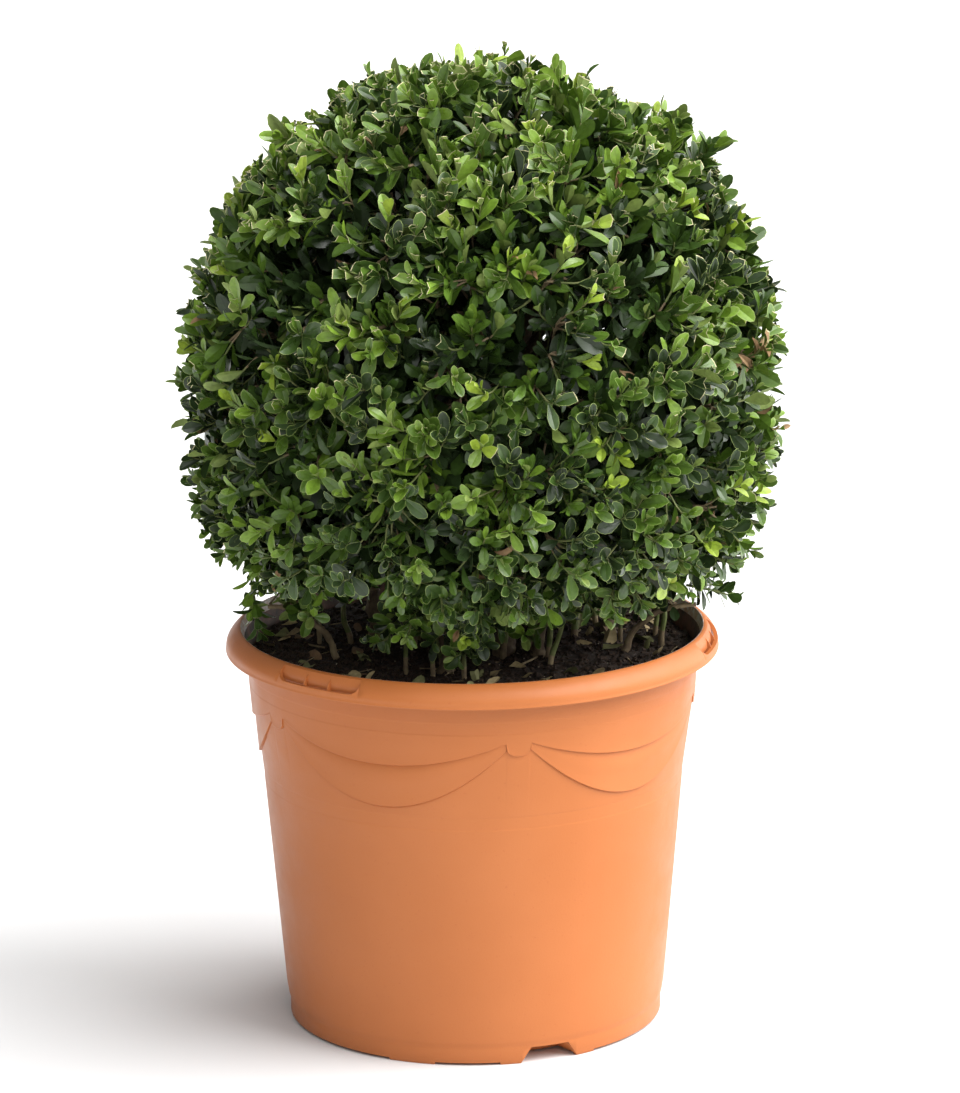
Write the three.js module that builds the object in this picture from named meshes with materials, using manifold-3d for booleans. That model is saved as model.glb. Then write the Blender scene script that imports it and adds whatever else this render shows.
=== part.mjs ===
// A clipped box ball in a round plastic container pot.
// Millimetres, +Z up. The origin is the middle of the pot's underside, and -Y is the pot's front.
// The pot is one moulding, in two solids: a tapering body, whose floor stands on low pads and has
// three drain pockets, and a rolled lip with three grip windows. It is filled with compost, from
// which several short stems rise into one clipped, uneven ball of leaves. Two low boughs leave under
// the ball and carry a sprig each out to the rim, and three more sprigs stand proud of the clipped
// outline.

import * as THREE from "three";
import { mergeVertices } from "three/addons/utils/BufferGeometryUtils.js";
import Module from "manifold-3d";

const wasm = await Module();
wasm.setup();

// ---------------------------------------------------------------- driving dimensions

const GAP = 0.3; // between neighbouring solids that touch
const ROUND_SIDES = 52; // facets round the pot, the compost and the ball

// Pot
const POT_HEIGHT = 328;
const RIM_INNER_RADIUS = 188; // at the top of the lip's inner edge
const LIP_RADIUS = 200.6;
const LIP_DEPTH = 18.5; // from the rim's top to the skirt's lower edge
const BODY_TOP_RADIUS = 180.5; // under the lip
const BODY_BASE_RADIUS = 154.5; // just above the foot
const SWAG_STEP = 2.6; // each of the wall's two steps, level at the mean height of the swags' edges
const SWAG_STEP_HEIGHTS = [233, 262];
const SWAG_STEP_RISE = 1; // height that each step takes outside
const SWAG_STEP_INNER_RISE = 8; // and inside
const FOOT_HEIGHT = 15;
const FOOT_INSET = 1.7;
const WALL = 2.6;
const CLEARANCE = 2; // from the ground to the floor, where there is no pad
const FLOOR_TOP = 6;
const FLOOR_FLAT_RADIUS = 105; // from here the floor rises to the wall
const FLOOR_EDGE_TOP = 17;
const CENTRE_PAD_RADIUS = 45;

// Grips: a slot down through the lip, whose skirt is lower there, with two thin ribs across it
const GRIP_ANGLES = [-39, 81, 201]; // degrees from the front, towards +X
const GRIP_HALF_ANGLE = 12;
const GRIP_INNER_RADIUS = 189.8;
const GRIP_OUTER_RADIUS = 197.2;
const GRIP_SKIRT_DROP = 12.5; // from the rim's top to the lowered skirt
const GRIP_RIB_ANGLE = 3.5;
const GRIP_RIB_THICKNESS = 1.6;
const GRIP_RIB_INSET = 0.8; // under the lip's own surface

// Drain pockets: trapezoid notches in the foot that run in under the floor
const DRAIN_ANGLES = [23, 143, 263];
const DRAIN_TOP_WIDTH = 32;
const DRAIN_BOTTOM_WIDTH = 47;
const DRAIN_TOP = 13; // at the foot's outside
const DRAIN_ROOF_SLOPE = 0.17; // the roof falls towards the middle
const DRAIN_INNER_RADIUS = 129;
const DRAIN_HOLE_RADIUS = 5;
const DRAIN_HOLE_PLACE = 139; // radius of its middle

// Pads under the foot: [angle from a drain's middle, width], in degrees
const PADS = [
  [-12.4, 6.4],
  [12.4, 6.4],
  [-43, 14.6],
];
const PAD_WIDTH = 5; // across the ring

// Compost
const COMPOST_TOP = 308;
const COMPOST_LEVEL_RADIUS = 140; // level inside this radius, where the stems stand
const COMPOST_UNEVEN = 1.6;

// Foliage ball: a body of revolution, round above its widest level, squarer below it and cut off
// level underneath
const BALL_OFFSET_X = 11;
const BALL_WIDEST_Z = 560;
const BALL_HALF_WIDTH = 247;
const BALL_DOME_HEIGHT = 239; // above the widest level
const BALL_DOME_POWER = 1.9; // 2 is an ellipse, more is squarer
const BALL_SKIRT_DEPTH = 225; // below the widest level, had it not been cut off
const BALL_SKIRT_POWER = 3.3;
const BALL_UNDERSIDE = 361;
const BALL_LUMP = 3.5;
const BALL_ROWS = 19;

// Stems: [name, foot x, foot y, foot radius, top radius, lean x, lean y]
const STEMS = [
  ["stem_front", -20, -73, 5.0, 3.4, 6, 8],
  ["stem_middle", 26, -11, 7.5, 5.5, 2, 6],
  ["stem_leaning", 54, -22, 5.0, 3.6, 16, -6],
  ["stem_right", 112, 40, 5.5, 4.0, 10, 8],
  ["stem_back", 12, 74, 7.0, 5.2, -4, 10],
  ["stem_left", -76, 24, 6.5, 4.8, -12, 4],
  ["stem_central", -24, 6, 8.5, 6.6, -3, 4],
];
const ROOT_FLARE = 0.7; // extra radius at the soil, as a share of the foot radius
const FLARE_HEIGHT = 7;
const STEM_SINK = 14; // how far a stem's path runs on into the ball before it is cut
const STEM_SIDES = 8;
const STEM_STEPS = 5;

// Low boughs: points from the compost, out under the ball towards the rim
const LOW_BOUGHS = {
  bough_low_left: [
    [-112, -34, COMPOST_TOP + GAP],
    [-112, -34, 318],
    [-126, -36, 338],
    [-146, -38, 351],
    [-166, -41, 354],
    [-178, -43, 350],
  ],
  bough_low_right: [
    [126, -20, COMPOST_TOP + GAP],
    [126, -20, 317],
    [140, -23, 335],
    [160, -26, 346],
    [180, -29, 349],
    [196, -32, 350],
  ],
};
const BOUGH_FOOT_RADIUS = 2.8;
const BOUGH_TIP_RADIUS = 1.4;
const BOUGH_STEPS = 14;

// Sprigs that stand on the ball: [name, base x, y, z, tip x, y, z, radius]
const BALL_SPRIGS = [
  ["sprig_top_left", -163, -6, 706, -155, -8, 756, 12],
  ["sprig_top_right", 164, -8, 704, 178, -10, 758, 15],
  ["sprig_upper_right", 194, -4, 682, 214, -6, 736, 14],
];
// Sprigs on the ends of the low boughs, which run a little way into them
const LOW_SPRIGS = {
  bough_low_left: ["sprig_low_left", -184, -42, 370, -171, -48, 326, 10],
  bough_low_right: ["sprig_low_right", 184, -31, 345, 222, -37, 359, 13],
};
const SPRIG_STEPS = 6;
const SPRIG_SIDES = 10;

// ---------------------------------------------------------------- materials

const material = (color, roughness) =>
  new THREE.MeshStandardMaterial({ color, roughness, metalness: 0 });

const terracotta = material(0xd07a4c, 0.45);
const peat = material(0x1d130e, 0.95);
const bark = material(0x6f6a44, 0.8);
const leaf = material(0x2c5a22, 0.5);

// ---------------------------------------------------------------- solids

const degrees = (angle) => (angle * Math.PI) / 180;

// A closed geometry as a manifold solid, with its shared vertices merged.
function solidOf(geometry) {
  const bare = geometry.clone();
  bare.deleteAttribute("normal");
  bare.deleteAttribute("uv");
  const merged = mergeVertices(bare, 1e-4);
  const index = merged.index.array;
  const kept = [];
  for (let i = 0; i < index.length; i += 3) {
    const [a, b, c] = index.slice(i, i + 3);
    if (a !== b && b !== c && a !== c) kept.push(a, b, c);
  }
  const vertProperties = merged.attributes.position.array;
  const triVerts = new Uint32Array(kept);
  return new wasm.Manifold(
    new wasm.Mesh({ numProp: 3, vertProperties, triVerts }),
  );
}

function geometryOf(solid) {
  const mesh = solid.getMesh();
  const geometry = new THREE.BufferGeometry();
  geometry.setAttribute(
    "position",
    new THREE.BufferAttribute(mesh.vertProperties, 3),
  );
  geometry.setIndex(new THREE.BufferAttribute(mesh.triVerts, 1));
  geometry.computeVertexNormals();
  return geometry;
}

// A lathed geometry about Z from [radius, height] points; facets start at -Y and turn towards +X.
function lathed(profile) {
  const points = profile.map(([r, z]) => new THREE.Vector2(r, z));
  return new THREE.LatheGeometry(points, ROUND_SIDES).rotateX(Math.PI / 2);
}

// Turns a geometry made at the front round Z to the given angle.
const atAngle = (geometry, angle) => geometry.rotateZ(degrees(angle));

// A flat ring sector round Z, centred on an angle, between two radii and two heights.
function sector(inner, outer, low, high, angle, halfAngle) {
  const from = degrees(angle - halfAngle - 90);
  const to = degrees(angle + halfAngle - 90);
  const shape = new THREE.Shape();
  shape.absarc(0, 0, outer, from, to, false);
  shape.absarc(0, 0, inner, to, from, true);
  return new THREE.ExtrudeGeometry(shape, {
    depth: high - low,
    bevelEnabled: false,
    curveSegments: 6,
  }).translate(0, 0, low);
}

// Changes every vertex of a geometry by a function of its position.
function moved(geometry, change) {
  const position = geometry.attributes.position;
  const p = new THREE.Vector3();
  for (let i = 0; i < position.count; i++) {
    change(p.fromBufferAttribute(position, i));
    position.setXYZ(i, p.x, p.y, p.z);
  }
  return geometry;
}

// ---------------------------------------------------------------- pot

const LIP_BOTTOM = POT_HEIGHT - LIP_DEPTH;
const SPLIT = LIP_BOTTOM - 1; // between the body's solid and the lip's

// The outside radius of the wall between the foot and the lip, without its steps.
function bodyRadius(z) {
  const share = (z - FOOT_HEIGHT) / (LIP_BOTTOM - FOOT_HEIGHT);
  return BODY_BASE_RADIUS + share * (BODY_TOP_RADIUS - BODY_BASE_RADIUS);
}

// [radius, height] points of the wall's two steps, from the lower one up.
function wallSteps(rise) {
  return SWAG_STEP_HEIGHTS.flatMap((z, step) => [
    [bodyRadius(z) + step * SWAG_STEP, z],
    [bodyRadius(z + rise) + (step + 1) * SWAG_STEP, z + rise],
  ]);
}

const footRadius = bodyRadius(FOOT_HEIGHT) - FOOT_INSET;

// [radius, height] points: up the outside of the wall, to just under the lip.
const outsideWall = () => [
  [0, 0],
  [CENTRE_PAD_RADIUS, 0],
  [CENTRE_PAD_RADIUS, CLEARANCE],
  [footRadius, CLEARANCE],
  [footRadius, FOOT_HEIGHT - 1],
  [bodyRadius(FOOT_HEIGHT), FOOT_HEIGHT],
  ...wallSteps(SWAG_STEP_RISE),
  [BODY_TOP_RADIUS + 2 * SWAG_STEP, LIP_BOTTOM],
];

// Round the rolled lip: out under its skirt, over the top and in to the rim's inner edge.
const lip = () => [
  [RIM_INNER_RADIUS - 0.4, POT_HEIGHT - 5],
  [LIP_RADIUS - WALL - 4.5, POT_HEIGHT - 8.5],
  [LIP_RADIUS - WALL - 0.6, POT_HEIGHT - 13],
  [LIP_RADIUS - WALL - 0.2, LIP_BOTTOM],
  [LIP_RADIUS - 0.5, LIP_BOTTOM],
  [LIP_RADIUS, POT_HEIGHT - 14],
  [LIP_RADIUS - 1.6, POT_HEIGHT - 9],
  [LIP_RADIUS - 6, POT_HEIGHT - 3.4],
  [RIM_INNER_RADIUS + 1.6, POT_HEIGHT],
  [RIM_INNER_RADIUS, POT_HEIGHT],
];

// The inside radius of the wall above its steps.
const innerRadius = (z) => bodyRadius(z) + 2 * SWAG_STEP - WALL;

// Down the inside of the wall and along the floor, drawn in by an offset.
function insideWall(offset) {
  const drawnIn = ([radius, z]) => [radius - WALL - offset, z];
  return [
    [innerRadius(COMPOST_TOP) - offset, COMPOST_TOP],
    ...wallSteps(SWAG_STEP_INNER_RISE).map(drawnIn).reverse(),
    [bodyRadius(FLOOR_EDGE_TOP) - WALL - offset, FLOOR_EDGE_TOP + offset],
    [FLOOR_FLAT_RADIUS, FLOOR_TOP + offset],
    [0, FLOOR_TOP + offset],
  ];
}

// A trapezoid block that runs in from outside the foot at one angle, under a sloping roof.
function drainPocket(angle) {
  const below = 2 * CLEARANCE; // the block runs on downwards, out of the floor
  const flare = (DRAIN_BOTTOM_WIDTH - DRAIN_TOP_WIDTH) / 2 / DRAIN_TOP;
  const bottom = DRAIN_BOTTOM_WIDTH / 2 + flare * below;
  const top = DRAIN_TOP_WIDTH / 2;
  const outerRadius = footRadius + 5;
  const shape = new THREE.Shape();
  shape.moveTo(-bottom, -DRAIN_TOP - below);
  shape.lineTo(bottom, -DRAIN_TOP - below);
  shape.lineTo(top, 0);
  shape.lineTo(-top, 0);
  shape.closePath();
  const block = new THREE.ExtrudeGeometry(shape, {
    depth: outerRadius - DRAIN_INNER_RADIUS,
    bevelEnabled: false,
  });
  block.rotateX(Math.PI / 2 - Math.atan(DRAIN_ROOF_SLOPE));
  const innerTop = DRAIN_TOP - DRAIN_ROOF_SLOPE * (footRadius - DRAIN_INNER_RADIUS);
  block.translate(0, -DRAIN_INNER_RADIUS, innerTop);
  return solidOf(atAngle(block, angle));
}

// The hole from a pocket's roof up to the compost.
function drainHole(angle) {
  const sides = 12;
  const hole = new THREE.CylinderGeometry(
    DRAIN_HOLE_RADIUS,
    DRAIN_HOLE_RADIUS,
    FLOOR_EDGE_TOP - FLOOR_TOP,
    sides,
  );
  hole.rotateX(Math.PI / 2);
  hole.translate(0, -DRAIN_HOLE_PLACE, DRAIN_TOP);
  return solidOf(atAngle(hole, angle));
}

// The space inside the lip's outer surface, less an inset all over.
function lipSpace(inset) {
  const low = LIP_BOTTOM + 1;
  const surface = [
    [LIP_RADIUS - 0.5, low],
    [LIP_RADIUS, POT_HEIGHT - 14],
    [LIP_RADIUS - 1.6, POT_HEIGHT - 9],
    [LIP_RADIUS - 6, POT_HEIGHT - 3.4],
    [RIM_INNER_RADIUS + 1.6, POT_HEIGHT],
  ].map(([radius, z]) => [radius - inset, Math.max(z - inset, low)]);
  return solidOf(lathed([[0, low], ...surface, [0, POT_HEIGHT - inset]]));
}

// A thin upright rib across the slot, from the wall to the lip's outer surface.
function gripRib(angle, space, cavity) {
  const rib = new THREE.BoxGeometry(GRIP_RIB_THICKNESS, WALL + LIP_RADIUS, LIP_DEPTH);
  rib.translate(0, -BODY_TOP_RADIUS - LIP_RADIUS / 2, POT_HEIGHT - LIP_DEPTH / 2);
  return solidOf(atAngle(rib, angle)).intersect(space).subtract(cavity);
}

function gripWindow(angle) {
  const cut = (outer, low) =>
    solidOf(sector(GRIP_INNER_RADIUS, outer, low, POT_HEIGHT + 1, angle, GRIP_HALF_ANGLE));
  const slot = cut(GRIP_OUTER_RADIUS, LIP_BOTTOM);
  return slot.add(cut(LIP_RADIUS + 1, POT_HEIGHT - GRIP_SKIRT_DROP));
}

function pad(angle, width) {
  const outer = footRadius - 0.6;
  return solidOf(
    sector(outer - PAD_WIDTH, outer, 0, CLEARANCE + 1, angle, width / 2),
  );
}

// The pot's two solids, [body, lip].
function makePot() {
  const mouth = [RIM_INNER_RADIUS, POT_HEIGHT];
  const cavity = solidOf(
    lathed([...insideWall(0).reverse(), mouth, [0, POT_HEIGHT]]),
  );
  let pot = solidOf(lathed([...outsideWall(), ...lip(), ...insideWall(0)]));
  const space = lipSpace(GRIP_RIB_INSET);
  for (const angle of DRAIN_ANGLES) {
    pot = pot.subtract(drainPocket(angle));
    pot = pot.subtract(drainHole(angle));
    for (const [offset, width] of PADS) pot = pot.add(pad(angle + offset, width));
  }
  for (const angle of GRIP_ANGLES) {
    pot = pot.subtract(gripWindow(angle));
    pot = pot.add(gripRib(angle - GRIP_RIB_ANGLE, space, cavity));
    pot = pot.add(gripRib(angle + GRIP_RIB_ANGLE, space, cavity));
  }
  const low = SPLIT - GAP / 2;
  const high = SPLIT + GAP / 2;
  const wide = 2 * LIP_RADIUS;
  const below = solidOf(lathed([[0, -1], [wide, -1], [wide, low], [0, low]]));
  const above = solidOf(
    lathed([[0, high], [wide, high], [wide, POT_HEIGHT + 1], [0, POT_HEIGHT + 1]]),
  );
  return [pot.intersect(below), pot.intersect(above)];
}

// ---------------------------------------------------------------- compost

function makeCompost() {
  const lowest = COMPOST_TOP - 2 * COMPOST_UNEVEN;
  const wallRadius = innerRadius(lowest) - GAP;
  const top = [
    [wallRadius, COMPOST_TOP - COMPOST_UNEVEN],
    [(wallRadius + COMPOST_LEVEL_RADIUS) / 2, COMPOST_TOP - COMPOST_UNEVEN],
    [COMPOST_LEVEL_RADIUS, COMPOST_TOP],
    [0, COMPOST_TOP],
  ];
  const side = insideWall(GAP).slice(1).reverse();
  const compost = moved(lathed([...side, ...top]), (p) => {
    const radius = Math.hypot(p.x, p.y);
    if (p.z < lowest || radius < COMPOST_LEVEL_RADIUS + 1) return;
    p.z += COMPOST_UNEVEN * Math.sin(5 * Math.atan2(p.y, p.x));
  });
  return solidOf(compost);
}

// ---------------------------------------------------------------- foliage

// The ball's outline at an angle from straight up, before its lumps: [radius, height].
function ballOutline(angle) {
  const rise = Math.cos(angle);
  const power = rise > 0 ? BALL_DOME_POWER : BALL_SKIRT_POWER;
  const reach = rise > 0 ? BALL_DOME_HEIGHT : BALL_SKIRT_DEPTH;
  const radius = BALL_HALF_WIDTH * Math.abs(Math.sin(angle)) ** (2 / power);
  const height = reach * Math.sign(rise) * Math.abs(rise) ** (2 / power);
  return [radius, BALL_WIDEST_Z + height];
}

// How far the clipped surface stands out at a place: broad, shallow swells.
function lump(p) {
  const round = Math.sin(p.x / 54 + 1.1) * Math.sin(p.y / 61 + 0.5);
  const rise = Math.sin(p.z / 67 + 2.0);
  return BALL_LUMP * (round + rise * Math.cos((p.x - p.y) / 83));
}

// The ball, grown outwards all over by a margin.
function makeBall(margin) {
  const underShare = (BALL_WIDEST_Z - BALL_UNDERSIDE) / BALL_SKIRT_DEPTH;
  const lastAngle = Math.PI - Math.acos(underShare ** (BALL_SKIRT_POWER / 2));
  const profile = [];
  for (let row = BALL_ROWS; row > 0; row--) {
    profile.push(ballOutline((lastAngle * row) / BALL_ROWS));
  }
  const bottom = [0, BALL_UNDERSIDE];
  const top = [0, BALL_WIDEST_Z + BALL_DOME_HEIGHT];
  const centre = new THREE.Vector3(0, 0, BALL_WIDEST_Z);
  const ball = moved(lathed([bottom, ...profile, top]), (p) => {
    const out = p.clone().sub(centre).normalize();
    p.addScaledVector(out, lump(p) + margin);
    p.x += BALL_OFFSET_X;
  });
  return solidOf(ball);
}

// A pointed tuft from a base to a tip, given as in the sprig lists, grown all over by a margin.
function makeSprig([bx, by, bz, tx, ty, tz, radius], margin) {
  const base = new THREE.Vector3(bx, by, bz);
  const along = new THREE.Vector3(tx, ty, tz).sub(base);
  const length = along.length();
  const points = [];
  for (let step = 0; step <= SPRIG_STEPS; step++) {
    const share = step / SPRIG_STEPS;
    const ends = step === 0 || step === SPRIG_STEPS;
    const width = ends ? 0 : radius * Math.sin(Math.PI * share ** 0.8) + margin;
    const height = (length + 2 * margin) * share - margin;
    points.push(new THREE.Vector2(width, height));
  }
  const geometry = new THREE.LatheGeometry(points, SPRIG_SIDES);
  const up = new THREE.Vector3(0, 1, 0);
  const turn = new THREE.Quaternion().setFromUnitVectors(up, along.normalize());
  geometry.applyQuaternion(turn).translate(bx, by, bz);
  return solidOf(geometry);
}

// ---------------------------------------------------------------- limbs

// One limb along a curve: the radius is a function of the share of its length.
function limb(points, sides, steps, radiusAt) {
  const curve = new THREE.CatmullRomCurve3(points);
  const frames = curve.computeFrenetFrames(steps, false);
  const bar = new THREE.CylinderGeometry(1, 1, 1, sides, steps);
  moved(bar, (p) => {
    const share = p.y + 0.5;
    const step = Math.round(share * steps);
    const radius = radiusAt(share);
    const { x, z } = p;
    p.copy(curve.getPointAt(share));
    p.addScaledVector(frames.normals[step], x * radius);
    p.addScaledVector(frames.binormals[step], -z * radius);
  });
  return solidOf(bar);
}

function makeStem(x, y, footRadius, topRadius, leanX, leanY, ballRoom) {
  const foot = COMPOST_TOP + GAP;
  const top = BALL_UNDERSIDE + STEM_SINK;
  const rise = top - foot;
  const points = [
    new THREE.Vector3(x, y, foot),
    new THREE.Vector3(x, y, foot + 0.15 * rise),
    new THREE.Vector3(x + 0.4 * leanX, y + 0.4 * leanY, foot + 0.6 * rise),
    new THREE.Vector3(x + leanX, y + leanY, top),
  ];
  const stem = limb(points, STEM_SIDES, STEM_STEPS, (share) => {
    const taper = footRadius + (topRadius - footRadius) * share;
    const flare = ROOT_FLARE * footRadius * Math.exp((-share * rise) / FLARE_HEIGHT);
    return taper + flare;
  });
  return stem.subtract(ballRoom);
}

function makeBough(points) {
  const path = points.map((p) => new THREE.Vector3(...p));
  return limb(path, 6, BOUGH_STEPS, (share) => {
    const taper = BOUGH_FOOT_RADIUS + (BOUGH_TIP_RADIUS - BOUGH_FOOT_RADIUS) * share;
    return taper + ROOT_FLARE * Math.exp(-share * 20);
  });
}

// ---------------------------------------------------------------- the plant

const plant = new THREE.Group();

function add(name, solid, look) {
  const mesh = new THREE.Mesh(geometryOf(solid), look);
  mesh.name = name;
  plant.add(mesh);
}

const ballRoom = makeBall(GAP);

const [potBody, potLip] = makePot();
add("pot_body", potBody, terracotta);
add("pot_lip", potLip, terracotta);
add("compost", makeCompost(), peat);
add("foliage_ball", makeBall(0), leaf);

for (const [name, ...sizes] of STEMS) {
  add(name, makeStem(...sizes, ballRoom), bark);
}

for (const [name, points] of Object.entries(LOW_BOUGHS)) {
  const [sprigName, ...sizes] = LOW_SPRIGS[name];
  add(name, makeBough(points).subtract(makeSprig(sizes, GAP)), bark);
  add(sprigName, makeSprig(sizes, 0), leaf);
}

for (const [name, ...sizes] of BALL_SPRIGS) {
  add(name, makeSprig(sizes, 0).subtract(ballRoom), leaf);
}

export default plant;
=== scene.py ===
import math

import bpy
import numpy as np
from mathutils import Matrix, Vector


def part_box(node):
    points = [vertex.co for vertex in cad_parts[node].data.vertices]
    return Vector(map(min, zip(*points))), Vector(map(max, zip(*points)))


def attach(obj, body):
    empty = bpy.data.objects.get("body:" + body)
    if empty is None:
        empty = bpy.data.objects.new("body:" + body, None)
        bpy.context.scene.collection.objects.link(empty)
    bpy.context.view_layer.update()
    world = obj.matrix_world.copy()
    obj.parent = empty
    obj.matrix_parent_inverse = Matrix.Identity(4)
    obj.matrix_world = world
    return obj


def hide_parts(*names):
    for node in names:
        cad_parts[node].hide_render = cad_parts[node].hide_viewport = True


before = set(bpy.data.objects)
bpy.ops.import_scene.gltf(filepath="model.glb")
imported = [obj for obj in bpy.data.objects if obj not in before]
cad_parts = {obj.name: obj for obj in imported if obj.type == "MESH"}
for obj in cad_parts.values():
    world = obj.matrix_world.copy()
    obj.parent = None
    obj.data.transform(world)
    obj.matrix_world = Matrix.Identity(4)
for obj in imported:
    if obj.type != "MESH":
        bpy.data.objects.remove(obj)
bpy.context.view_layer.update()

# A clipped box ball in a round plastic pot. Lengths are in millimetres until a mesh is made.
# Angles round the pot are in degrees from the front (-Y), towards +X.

MM = 0.001
RNG = np.random.default_rng(20417)


def node_box(name):
    """A CAD node's lowest and highest corner, in millimetres."""
    low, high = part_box(name)
    return np.array(low) / MM, np.array(high) / MM


def node_points(name):
    """A CAD node's vertices, in millimetres."""
    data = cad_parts[name].data
    points = np.empty(len(data.vertices) * 3, np.float32)
    data.vertices.foreach_get("co", points)
    return points.reshape(-1, 3).astype(float) / MM


# ---------------------------------------------------------------- numbers and curves


def unit(v):
    """Vectors made one long."""
    return v / np.maximum(np.linalg.norm(v, axis=-1, keepdims=True), 1e-9)


# Large odd numbers that scatter neighbouring whole-numbered places
PLACE_KEYS = (73856093, 19349663, 83492791)
SEED_KEY = 2654435
MIXING = ((13, 1274126177), (16, 1103515245))  # (shift, factor)
KEPT_BITS = 0x7FFFFFFF


def lattice(cell, seed):
    """A repeatable random number from -1 to 1 for each whole-numbered place."""
    key = cell[..., 0] * PLACE_KEYS[0] ^ cell[..., 1] * PLACE_KEYS[1] ^ cell[..., 2] * PLACE_KEYS[2]
    key = (key ^ (seed * SEED_KEY)) & KEPT_BITS
    for shift, factor in MIXING:
        key = (key ^ (key >> shift)) * factor & KEPT_BITS
    return (key & 0xFFFF) / 32767.5 - 1.0


def noise(points, size, seed):
    """Smooth random swells about a size apart, from -1 to 1."""
    place = np.asarray(points, float) / size
    cell = np.floor(place).astype(np.int64)
    part = place - cell
    part = part * part * (3 - 2 * part)
    total = np.zeros(place.shape[:-1])
    for corner in range(8):
        step = np.array([corner & 1, corner >> 1 & 1, corner >> 2 & 1])
        weight = np.prod(np.where(step, part, 1 - part), axis=-1)
        total += weight * lattice(cell + step, seed)
    return total


def round_z(angle, radius, height):
    """Places at an angle, radius and height round the pot's axis."""
    turn = np.radians(angle)
    parts = np.broadcast_arrays(radius * np.sin(turn), -radius * np.cos(turn), height)
    return np.stack(parts, -1)


def bezier(corners, shares):
    """Points and directions along cubic curves: corners (curves, 4, 3), shares (curves, points)."""
    a, b, c, d = (corners[:, i, None, :] for i in range(4))
    t = shares[..., None]
    s = 1 - t
    points = s**3 * a + 3 * s * s * t * b + 3 * s * t * t * c + t**3 * d
    slopes = 3 * (s * s * (b - a) + 2 * s * t * (c - b) + t * t * (d - c))
    return points, unit(slopes)


def sphere_directions(count):
    """Directions spread evenly over a sphere."""
    i = np.arange(count) + 0.5
    height = 1 - 2 * i / count
    turn = math.pi * (1 + math.sqrt(5)) * i
    flat = np.sqrt(1 - height**2)
    return np.stack([flat * np.cos(turn), flat * np.sin(turn), height], -1)


# ---------------------------------------------------------------- meshes


def joined(parts):
    """One set of points, quads and slots from several."""
    points, quads, slots = [], [], []
    start = 0
    for part_points, part_quads, part_slots in parts:
        points.append(part_points)
        quads.append(part_quads + start)
        slots.append(np.broadcast_to(part_slots, len(part_quads)))
        start += len(part_points)
    return np.concatenate(points), np.concatenate(quads), np.concatenate(slots)


def make_piece(name, shape, materials, replaced=(), smooth=True):
    """A piece from points, quads and slots. A quad whose last two corners are one is a triangle."""
    points, quads, slots = shape
    is_triangle = quads[:, 2] == quads[:, 3]
    order = np.concatenate([np.where(~is_triangle)[0], np.where(is_triangle)[0]])
    quads, slots = quads[order], np.asarray(slots)[order]
    n_quads = int((~is_triangle).sum())
    corners = np.concatenate([quads[:n_quads].ravel(), quads[n_quads:, :3].ravel()])
    sizes = np.concatenate([np.full(n_quads, 4), np.full(len(quads) - n_quads, 3)])
    mesh = bpy.data.meshes.new(name)
    mesh.vertices.add(len(points))
    mesh.vertices.foreach_set("co", (points * MM).astype(np.float32).ravel())
    mesh.loops.add(len(corners))
    mesh.loops.foreach_set("vertex_index", corners.astype(np.int32))
    mesh.polygons.add(len(quads))
    mesh.polygons.foreach_set("loop_start", (np.cumsum(sizes) - sizes).astype(np.int32))
    mesh.polygons.foreach_set("material_index", slots.astype(np.int32))
    mesh.polygons.foreach_set("use_smooth", np.full(len(quads), smooth))
    for material in materials:
        mesh.materials.append(material)
    mesh.update(calc_edges=True)
    mesh.validate()
    piece = bpy.data.objects.new(name, mesh)
    bpy.context.scene.collection.objects.link(piece)
    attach(piece, "root")
    if replaced:
        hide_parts(*replaced)
    return piece


def grid_quads(rows, columns, closed):
    """The quads of a grid of points, joined round from the last column to the first if closed."""
    ids = np.arange(rows * columns).reshape(rows, columns)
    beside = np.roll(ids, -1, axis=1) if closed else ids[:, 1:]
    here = ids if closed else ids[:, :-1]
    return np.stack([here[:-1], beside[:-1], beside[1:], here[1:]], -1)


def tubes(paths, radii, sides, slot=0, relief=None):
    """Round limbs along many paths of as many points: paths (limbs, points, 3), radii alike."""
    count, steps = paths.shape[:2]
    along = unit(np.gradient(paths, axis=1))
    whole = unit(paths[:, -1] - paths[:, 0])
    helper = np.where(np.abs(whole[:, 2:]) > 0.8, [[1.0, 0.2, 0.0]], [[0.1, 0.2, 1.0]])
    helper = helper[:, None, :]
    across = unit(helper - (helper * along).sum(-1, keepdims=True) * along)
    other = np.cross(along, across)
    turn = np.arange(sides) * 2 * math.pi / sides
    ring = across[:, :, None] * np.cos(turn)[:, None] + other[:, :, None] * np.sin(turn)[:, None]
    wide = radii[:, :, None, None]
    points = paths[:, :, None, :] + ring * wide
    if relief is not None:
        points = points + ring * relief(points, wide)
    quads = grid_quads(steps, sides, True).reshape(-1, 4)
    starts = np.arange(count)[:, None, None] * steps * sides
    return points.reshape(-1, 3), (quads[None] + starts).reshape(-1, 4), slot


# ---------------------------------------------------------------- materials


def new_material(name, color, roughness, ior=1.45):
    """A material with one colour and roughness, its node tree and its shader node."""
    material = bpy.data.materials.new(name)
    material.use_nodes = True
    shader = material.node_tree.nodes["Principled BSDF"]
    shader.inputs["Base Color"].default_value = (*color, 1)
    shader.inputs["Roughness"].default_value = roughness
    shader.inputs["IOR"].default_value = ior
    return material, material.node_tree, shader


def add_node(tree, kind, inputs=(), **settings):
    """A node whose inputs are set to values or linked to other nodes' outputs."""
    node = tree.nodes.new(kind)
    for key, value in settings.items():
        setattr(node, key, value)
    for key, value in dict(inputs).items():
        if isinstance(value, bpy.types.NodeSocket):
            tree.links.new(value, node.inputs[key])
        else:
            node.inputs[key].default_value = value
    return node


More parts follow.
